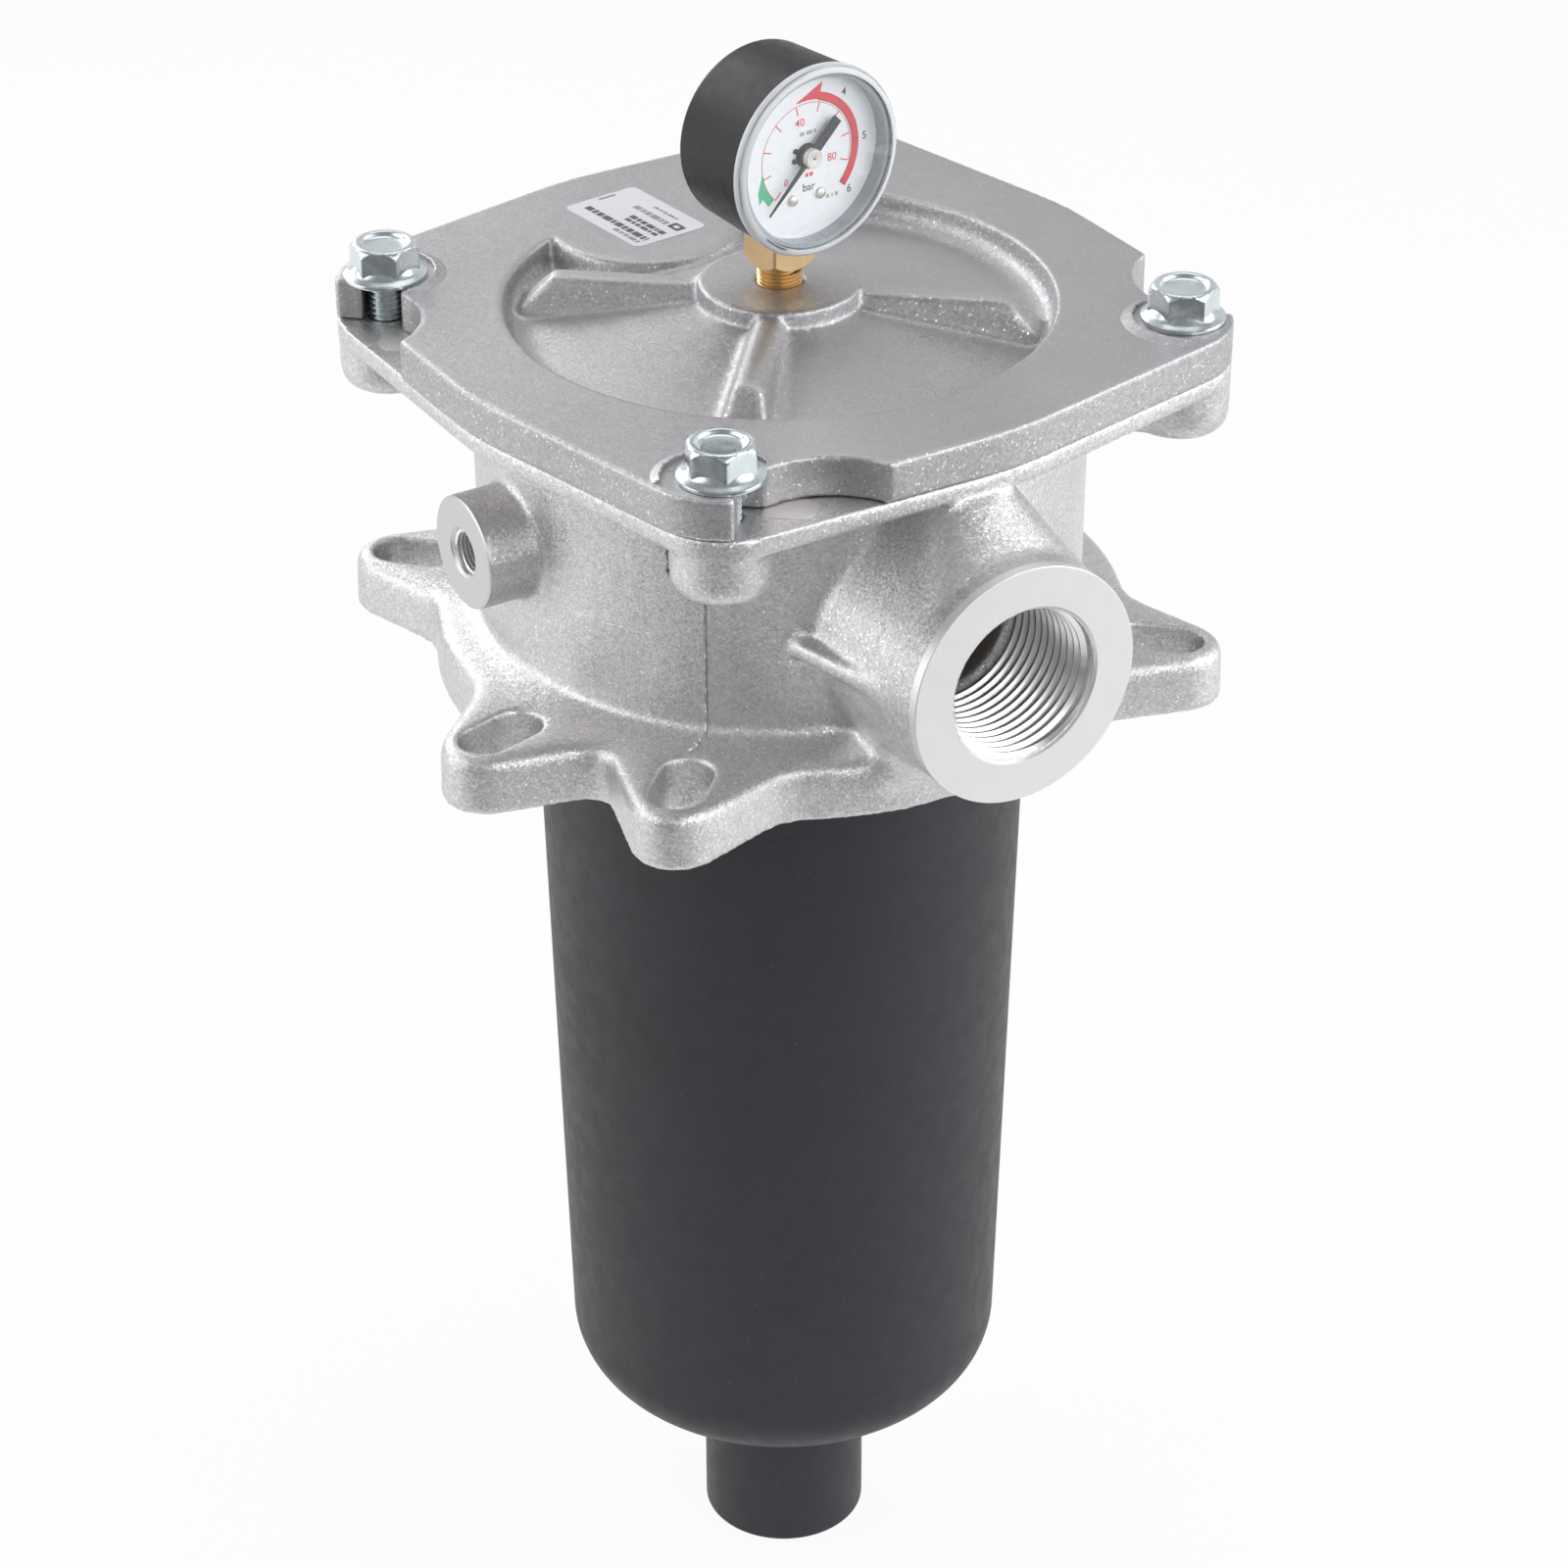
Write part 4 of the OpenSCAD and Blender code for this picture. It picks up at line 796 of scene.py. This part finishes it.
case_back, step = WINDOW_X - GAUGE_L, WINDOW_X - WINDOW_L
back_r, lip_r = CASE_R - CASE_DRAFT, CASE_R - 0.6
prof = [(2.5, case_back + 1.2), (2.5, case_back), (12, case_back)]
prof += arc(back_r - 1.4, case_back + 1.4, 1.4, -90, 0, 10)
prof += [(CASE_R, step - 0.25), (CASE_R - 0.2, step), (lip_r, step), (lip_r, step + 0.2),
         (CASE_R - CASE_WALL, step + 0.2), (CASE_R - CASE_WALL, step), (back_r - CASE_WALL, case_back + 1.2)]
case = lathe("gauge_shell", prof, M["case"], 160, turned_m, 35, closed=True)
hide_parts("gauge_case")
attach(case, "lid")

# The window: a clear cap. Its frosted skirt, the skirt's foot and its thick rounded rim are pieces of their own
split = DIAL_R + 0.1
glass = [(0, WINDOW_X - WINDOW_T), (split, WINDOW_X - WINDOW_T), (split, WINDOW_X - 0.02),
         (split - 0.3, WINDOW_X), (0, WINDOW_X)]
window = lathe("gauge_glass", glass, M["glass"], 160, turned_m, 40)
skirt = [(DIAL_R - 1.0, DIAL_X + 0.02), (DIAL_R - 1.0, 12.2), (DIAL_R - 0.85, 12.36), (DIAL_R - 0.1, 12.36),
         (DIAL_R, 12.2), (DIAL_R, DIAL_X + 0.02)]
skirt = lathe("gauge_skirt", skirt, M["skirt"], 160, turned_m, 35, closed=True)
foot = [(DIAL_R - 1.25, DIAL_X + 0.01), (DIAL_R - 1.22, DIAL_X + 0.22), (DIAL_R - 1.0, DIAL_X + 0.3),
        (DIAL_R - 0.9, DIAL_X + 0.01)]
foot = lathe("gauge_skirt_foot", foot, M["dial"], 160, turned_m, 35, closed=True)
rim = [(split + 0.01, step + 0.03), (GAUGE_R - 0.15, step + 0.03), (GAUGE_R, step + 0.2)]
rim += arc(GAUGE_R - 1.7, WINDOW_X - 1.7, 1.7, 0, 90, 14) + [(split + 0.01, WINDOW_X - 0.02)]
rim = lathe("gauge_rim", rim, M["rim"], 160, turned_m, 40, closed=True)
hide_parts("gauge_window")
for o in (window, skirt, foot, rim):
    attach(o, "lid")

# The printing stands this much above the dial
ink = 0.035
printing = {"black": [], "red": [], "green": [], "pale": []}


def print_on(points, colour):
    printing[colour].append(on_dial(points, DIAL_X, DIAL_X + ink, "ink", M["ink_" + colour]))


def digits(text, u, v, size, colour, bold=0.012):
    cu = bpy.data.curves.new("digits", "FONT")
    cu.body, cu.size, cu.align_x, cu.align_y = text, size * 1.38, "CENTER", "CENTER"
    cu.extrude, cu.offset, cu.resolution_u = ink / 2, bold, 4
    tmp = bpy.data.objects.new("digits", cu)
    scene.collection.objects.link(tmp)
    me = evaluated(tmp)
    bpy.data.objects.remove(tmp)
    pts = np.array([v.co[:] for v in me.vertices])
    faces = [tuple(p.vertices) for p in me.polygons]
    verts = [(DIAL_X + ink / 2 + p[2], u + p[0], v + p[1]) for p in pts]
    printing[colour].append(new_object("ink", verts, faces, M["ink_" + colour], 30, gauge_m))


for i, a in ((4, 40.0), (5, 87.5), (6, 132.7)):
    digits(str(i), *clock(14.8, a), 1.75, "black")
    print_on(tick(11.5, 13.3, a, 0.2), "black")
print_on(band(11.5, 11.64, 15.5, 133), "black")
print_on(band(11.65, 13.3, 15.5, 133), "red")
arrow = [clock(11.68, a) for a in range(-8, 16, 4)]
arrow += [clock(11.68, 15.5), clock(15.46, 15.5), clock(11.9, -13)]
print_on(arrow[::-1], "red")
print_on(band(11.1, 11.24, -135, 109), "red")
for i in range(9):
    print_on(tick(9.1, 11.1, -135 + 30.5 * i, 0.26), "red")
digits("40", -1.6, 7.2, 1.75, "red")
digits("80", 6.5, -2.0, 1.75, "red")
digits("0", -5.1, -4.9, 1.5, "red")
digits("bar", 0.6, -7.1, 1.75, "black")
# Plain dashes in place of the small words: colour, height on the dial and where each begins and ends
for colour, y, spans in (("pale", 4.75, ((-1.7, -0.5), (0.0, 1.5), (1.9, 2.5))),
                         ("pale", -10.3, ((5.0, 5.8), (6.4, 6.7), (7.3, 8.0))),
                         ("red", -4.4, ((-0.2, 0.5), (0.8, 1.6)))):
    for x0, x1 in spans:
        print_on([(x0, y - 0.4), (x1, y - 0.4), (x1, y + 0.4), (x0, y + 0.4)], colour)
print_on([clock(11.1, -97), clock(13.33, -114), clock(14.3, -124), clock(13.0, -122), clock(13.0, -133)]
         + [clock(11.12, a) for a in (-133, -124, -115, -106)], "green")
for colour, objs in printing.items():
    o = join("dial_print_" + colour, objs)
    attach(o, "lid")


def dial_screw(name, side):
    prof = [(0.7, -0.9), (0.7, 0.0), (1.25, 0.0), (1.28, 0.12), (1.15, 0.4), (0.8, 0.62), (0.35, 0.69),
            (0, 0.7)]
    m = gauge_m @ move(DIAL_X + 0.01, side * 3.5, -9.07) @ TO_X
    return lathe(name, prof, M["nickel"], 40, m, 40)


screws = [dial_screw("dial_screw_left", -1), dial_screw("dial_screw_right", 1)]
for o in screws:
    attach(o, "lid")
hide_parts("dial_screws")

# The pointer lies this far forward
px = DIAL_X + 1.3
needle = [(-0.62, 0.0), (-1.1, -1.2), (-1.15, -9.7), (1.15, -9.7), (1.1, -1.2), (0.62, 0.0), (0.42, 6.0),
          (0.12, 14.7), (0, 14.8), (-0.12, 14.7), (-0.42, 6.0)]
sin, cos = math.sin(math.radians(-135)), math.cos(math.radians(-135))
needle = [(u * cos + v * sin, -u * sin + v * cos) for u, v in needle]
# The hub's flat top with a bevel round it and a dimple for the pin, and the collar under it
hub = [(2.05, -0.3), (2.1, 1.25), (2.08, 1.3), (1.95, 1.45), (1.88, 1.5), (1.8, 1.5), (0.4, 1.5),
       (0.32, 1.48), (0.24, 1.3), (0, 1.3)]
collar = [(2.1, -0.28), (2.5, -0.26), (2.5, -0.02), (2.1, 0)]
pin = [(0.2, 1.31), (0.16, 1.37), (0, 1.38)]
hub, collar, pin = ([(r, px + x) for r, x in p] for p in (hub, collar, pin))
parts = [on_dial(needle, px, px + 0.35, "needle", M["pointer"]),
         lathe("hub", hub, M["nickel"], 64, turned_m, 14),
         lathe("collar", collar, M["pointer"], 48, turned_m, 35, closed=True, flip=True),
         lathe("pin", pin, M["pointer"], 24, turned_m, 35)]
pointer = join("pointer_needle", parts)
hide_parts("gauge_pointer")
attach(pointer, "pointer")

# A dark stop plate with two lugs on the dial, behind the hub
plate = [(1.3, DIAL_X + 0.01), (2.6, DIAL_X + 0.01), (2.6, DIAL_X + 0.2), (2.3, DIAL_X + 0.3),
         (1.3, DIAL_X + 0.3)]
lug = [(0.55, DIAL_X + 0.01), (0.55, DIAL_X + 0.4), (0.4, DIAL_X + 0.52), (0, DIAL_X + 0.54)]
lugs = [lathe("stop_ring", plate, M["nylon"], 48, turned_m, 35, closed=True, flip=True)]
for a in (-62, -102):
    lugs.append(lathe("stop_lug", lug, M["pointer"], 24, gauge_m @ move(0, *clock(3.15, a)) @ TO_X, 40))
o = join("dial_stop", lugs)
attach(o, "lid")

# Stem: the CAD block kept above its thread, and a cut thread below
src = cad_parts["gauge_stem"].data.copy()
bm = bmesh.new()
bm.from_mesh(src)
bmesh.ops.bisect_plane(bm, geom=bm.verts[:] + bm.edges[:] + bm.faces[:], plane_co=(0, 0, 91.0 * MM),
                       plane_no=(0, 0, 1), clear_inner=True)
bmesh.ops.holes_fill(bm, edges=[e for e in bm.edges if e.is_boundary])
bm.to_mesh(src)
bm.free()
src.materials.clear()
block = finish_mesh(src, "stem_block", M["brass"], 30)
core = lathe("stem_core", [(0, 78.2), (4.2, 78.2), (4.2, 91.05), (0, 91.05)], M["brass"], 48)
ridge = thread("stem_ridge", 4.22, 4.84, G18_PITCH, 78.4, 91.2, M["brass"], 48)
stem = join("stem_thread", [core, ridge])
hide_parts("gauge_stem")
for o in (block, stem):
    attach(o, "lid")

# ---- label: a bare film with a few plain bars
label_m = spin(TWIST + 135) @ move(51.9, 0, COVER_Z)


def slab(name, x0, y0, x1, y1, z0, z1, mat, corner=0.0):
    pts = []
    for cx, cy, a in ((x1, y1, 0), (x0, y1, 90), (x0, y0, 180), (x1, y0, 270)):
        sx, sy = (1 if cx == x0 else -1), (1 if cy == y0 else -1)
        if corner:
            pts += arc(cx + sx * corner, cy + sy * corner, corner, a, a + 90, 6)
        else:
            pts.append((cx, cy))
    verts = [(x, y, z0) for x, y in pts] + [(x, y, z1) for x, y in pts]
    return new_object(name, verts, prism_faces(len(pts)), mat, 30, label_m)


film = slab("label_film", -13.6, -9.35, 13.6, 9.35, 0.0, 0.15, M["film"], 1.6)
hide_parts("label")
# Rows of dashes: height on the label, start, end, size and whether they are pale
rows = [(5.3, 10.6, -11.7, 1.7, 0), (7.4, -2.5, -11.7, 1.1, 1), (2.25, 0.3, -11.9, 1.1, 0),
        (0.5, 0.8, -12.2, 1.4, 0), (-3.2, 4.5, -7.4, 1.6, 1), (-6.3, 1.6, -7.2, 0.8, 1)]
bars = {"print": [], "print_pale": []}
for y, x, end, h, faint in rows:
    key, i = "print_pale" if faint else "print", 0
    while x > end + 0.4:
        x1 = max(end, x - (1.7, 0.9, 1.3, 2.1, 0.7)[i % 5] * (0.75 + h / 3))
        bars[key].append(slab("dash", x1, y - h / 2, x, y + h / 2, 0.15, 0.165, M[key]))
        x, i = x1 - 0.42, i + 1
bars["print"].append(slab("dash", -12.0, -5.1, -8.2, -2.4, 0.15, 0.165, M["print"], 0.5))
bars["print"].append(slab("dash", -10.9, -4.3, -9.3, -3.2, 0.165, 0.17, M["film"], 0.3))
bars["print_pale"].append(slab("dash", 11.9, -3.5, 12.7, 0.9, 0.15, 0.165, M["print_pale"]))
bars = join("label_bars", bars["print"] + bars["print_pale"])
for o in (film, bars):
    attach(o, "lid")

# ---- finishes of the CAD nodes that stay as they are
for mat, nodes in {"rubber": ("cover_seal", "bowl_seal", "element_seal"),
                   "spring": ("bowl_ring", "element_spring", "bypass_spring"),
                   "steel": ("element_top_cap", "element_core", "element_bottom_cap", "gauge_link",
                             "pointer_shaft"),
                   "brass": ("bypass_seat", "gauge_movement", "bourdon_tube", "sector_gear"),
                   "paper": ("element_media",), "nylon": ("bypass_cage",), "acetal": ("bypass_poppet",),
                   "dial": ("gauge_dial",)}.items():
    for node in nodes:
        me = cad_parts[node].data
        me.materials.clear()
        me.materials.append(M[mat])

# ---- floor, light and camera
right = Vector((*polar(1, CAM_TURN), 0))
up = Vector((0, 0, 1))
fwd = Vector((-right.y, right.x, 0))
floor_mat = Nodes("pale_floor")
floor_mat.set(Base_Color=(0.8, 0.8, 0.8), Roughness=0.9, Specular_IOR_Level=0.1)
path = floor_mat.node("ShaderNodeLightPath").outputs
seen = floor_mat.math("MAXIMUM", path["Is Camera Ray"],
                      floor_mat.math("MAXIMUM", path["Is Glossy Ray"], path["Is Transmission Ray"]))
floor_mat.trade(floor_mat.math("MULTIPLY", seen, 0.93),
                floor_mat.node("ShaderNodeEmission", Color=(1, 1, 1), Strength=1.0))
# The white sheet ends a little in front of the object; the room beyond it is dark
corners = [right * a + fwd * b for a, b in ((-4000, -430), (4000, -430), (4000, 7000), (-4000, 7000))]
floor = new_object("floor", [(c.x, c.y, bottom - 0.2) for c in corners], [(0, 1, 2, 3)], floor_mat.mat)

world = bpy.data.worlds.new("studio")
scene.world = world
world.use_nodes = True
w = Tree(world.node_tree)
ray = w.node("ShaderNodeTexCoord").outputs["Generated"]
height = w.node("ShaderNodeSeparateXYZ", i0=ray).outputs[2]
height = w.node("ShaderNodeMapRange", i0=height, i1=-1, i2=1).outputs[0]
# Tones of the room from floor to ceiling, darker towards the side that the picture is taken from
tones = [(p, (t, t, t * 1.01)) for p, t in ((0.52, 0.66), (0.64, 0.74), (0.76, 0.62), (0.86, 0.40))]
tone = w.ramp(height, (0.46, (0.27, 0.27, 0.28)), *tones, (0.96, (0.30, 0.30, 0.31)))
ahead = w.vector("DOT_PRODUCT", ray, i1=-fwd)["Value"]
dim = w.node("ShaderNodeMapRange", i0=ahead, i1=0.1, i2=0.75, i3=1.0, i4=0.62).outputs[0]
room = w.node("ShaderNodeBackground", i0=w.vector("SCALE", tone, Scale=dim)[0], i1=1.0)
backdrop = w.node("ShaderNodeBackground", i0=(0.985, 0.985, 0.985))
pick = w.node("ShaderNodeMixShader", i0=w.node("ShaderNodeLightPath").outputs["Is Camera Ray"],
              i1=room.outputs[0], i2=backdrop.outputs[0])
w.node("ShaderNodeOutputWorld", i0=pick.outputs[0])


def lamp(name, place, target, size, watts):
    data = bpy.data.lights.new(name, "AREA")
    data.shape, data.size, data.size_y, data.energy = "RECTANGLE", size[0], size[1], watts
    o = bpy.data.objects.new(name, data)
    scene.collection.objects.link(o)
    o.location = place
    o.rotation_euler = (Vector(target) - Vector(place)).to_track_quat("-Z", "Y").to_euler()
    o.visible_camera = False


def around(r, u, f):
    """A place given as right, up and towards the camera, in metres from the object's middle."""
    return right * r + up * u - fwd * f


lamp("left_box", around(-1.3, 0.45, 0.25), (0, 0, -0.02), (1.3, 1.6), 9.2)
lamp("right_box", around(1.3, 0.4, 0.15), (0, 0, -0.02), (1.3, 1.6), 12.5)
lamp("top_box", around(0.1, 1.5, -0.5), (0, 0, 0), (1.2, 1.0), 4)
lamp("front_box", around(1.0, 0.75, 1.5), (0, 0, 0), (1.3, 1.0), 11.5)
lamp("back_box", around(-0.6, 0.52, -0.75), (0, 0, 0.05), (0.7, 0.5), 3.3)

cam_data = bpy.data.cameras.new("camera")
cam_data.sensor_width = 36
cam_data.sensor_fit = "HORIZONTAL"
cam_data.lens = FOCAL / PHOTO * 36
cam_data.shift_x = (PHOTO / 2 - CENTRE[0]) / PHOTO
cam_data.shift_y = -(PHOTO / 2 - CENTRE[1]) / PHOTO
cam_data.clip_start, cam_data.clip_end = 0.05, 30
cam = bpy.data.objects.new("camera", cam_data)
scene.collection.objects.link(cam)
tilt, roll = math.radians(CAM_TILT), math.radians(CAM_ROLL)
look = fwd * math.cos(tilt) + up * math.sin(tilt)
side = look.cross(up).normalized()
top = side.cross(look).normalized()
rot = Matrix((side * math.cos(roll) + top * math.sin(roll), top * math.cos(roll) - side * math.sin(roll),
              -look))
cam.matrix_world = Matrix.Translation(CAM_PLACE) @ rot.transposed().to_4x4()
scene.camera = cam
scene.view_settings.view_transform = "Standard"

bpy.context.view_layer.update()
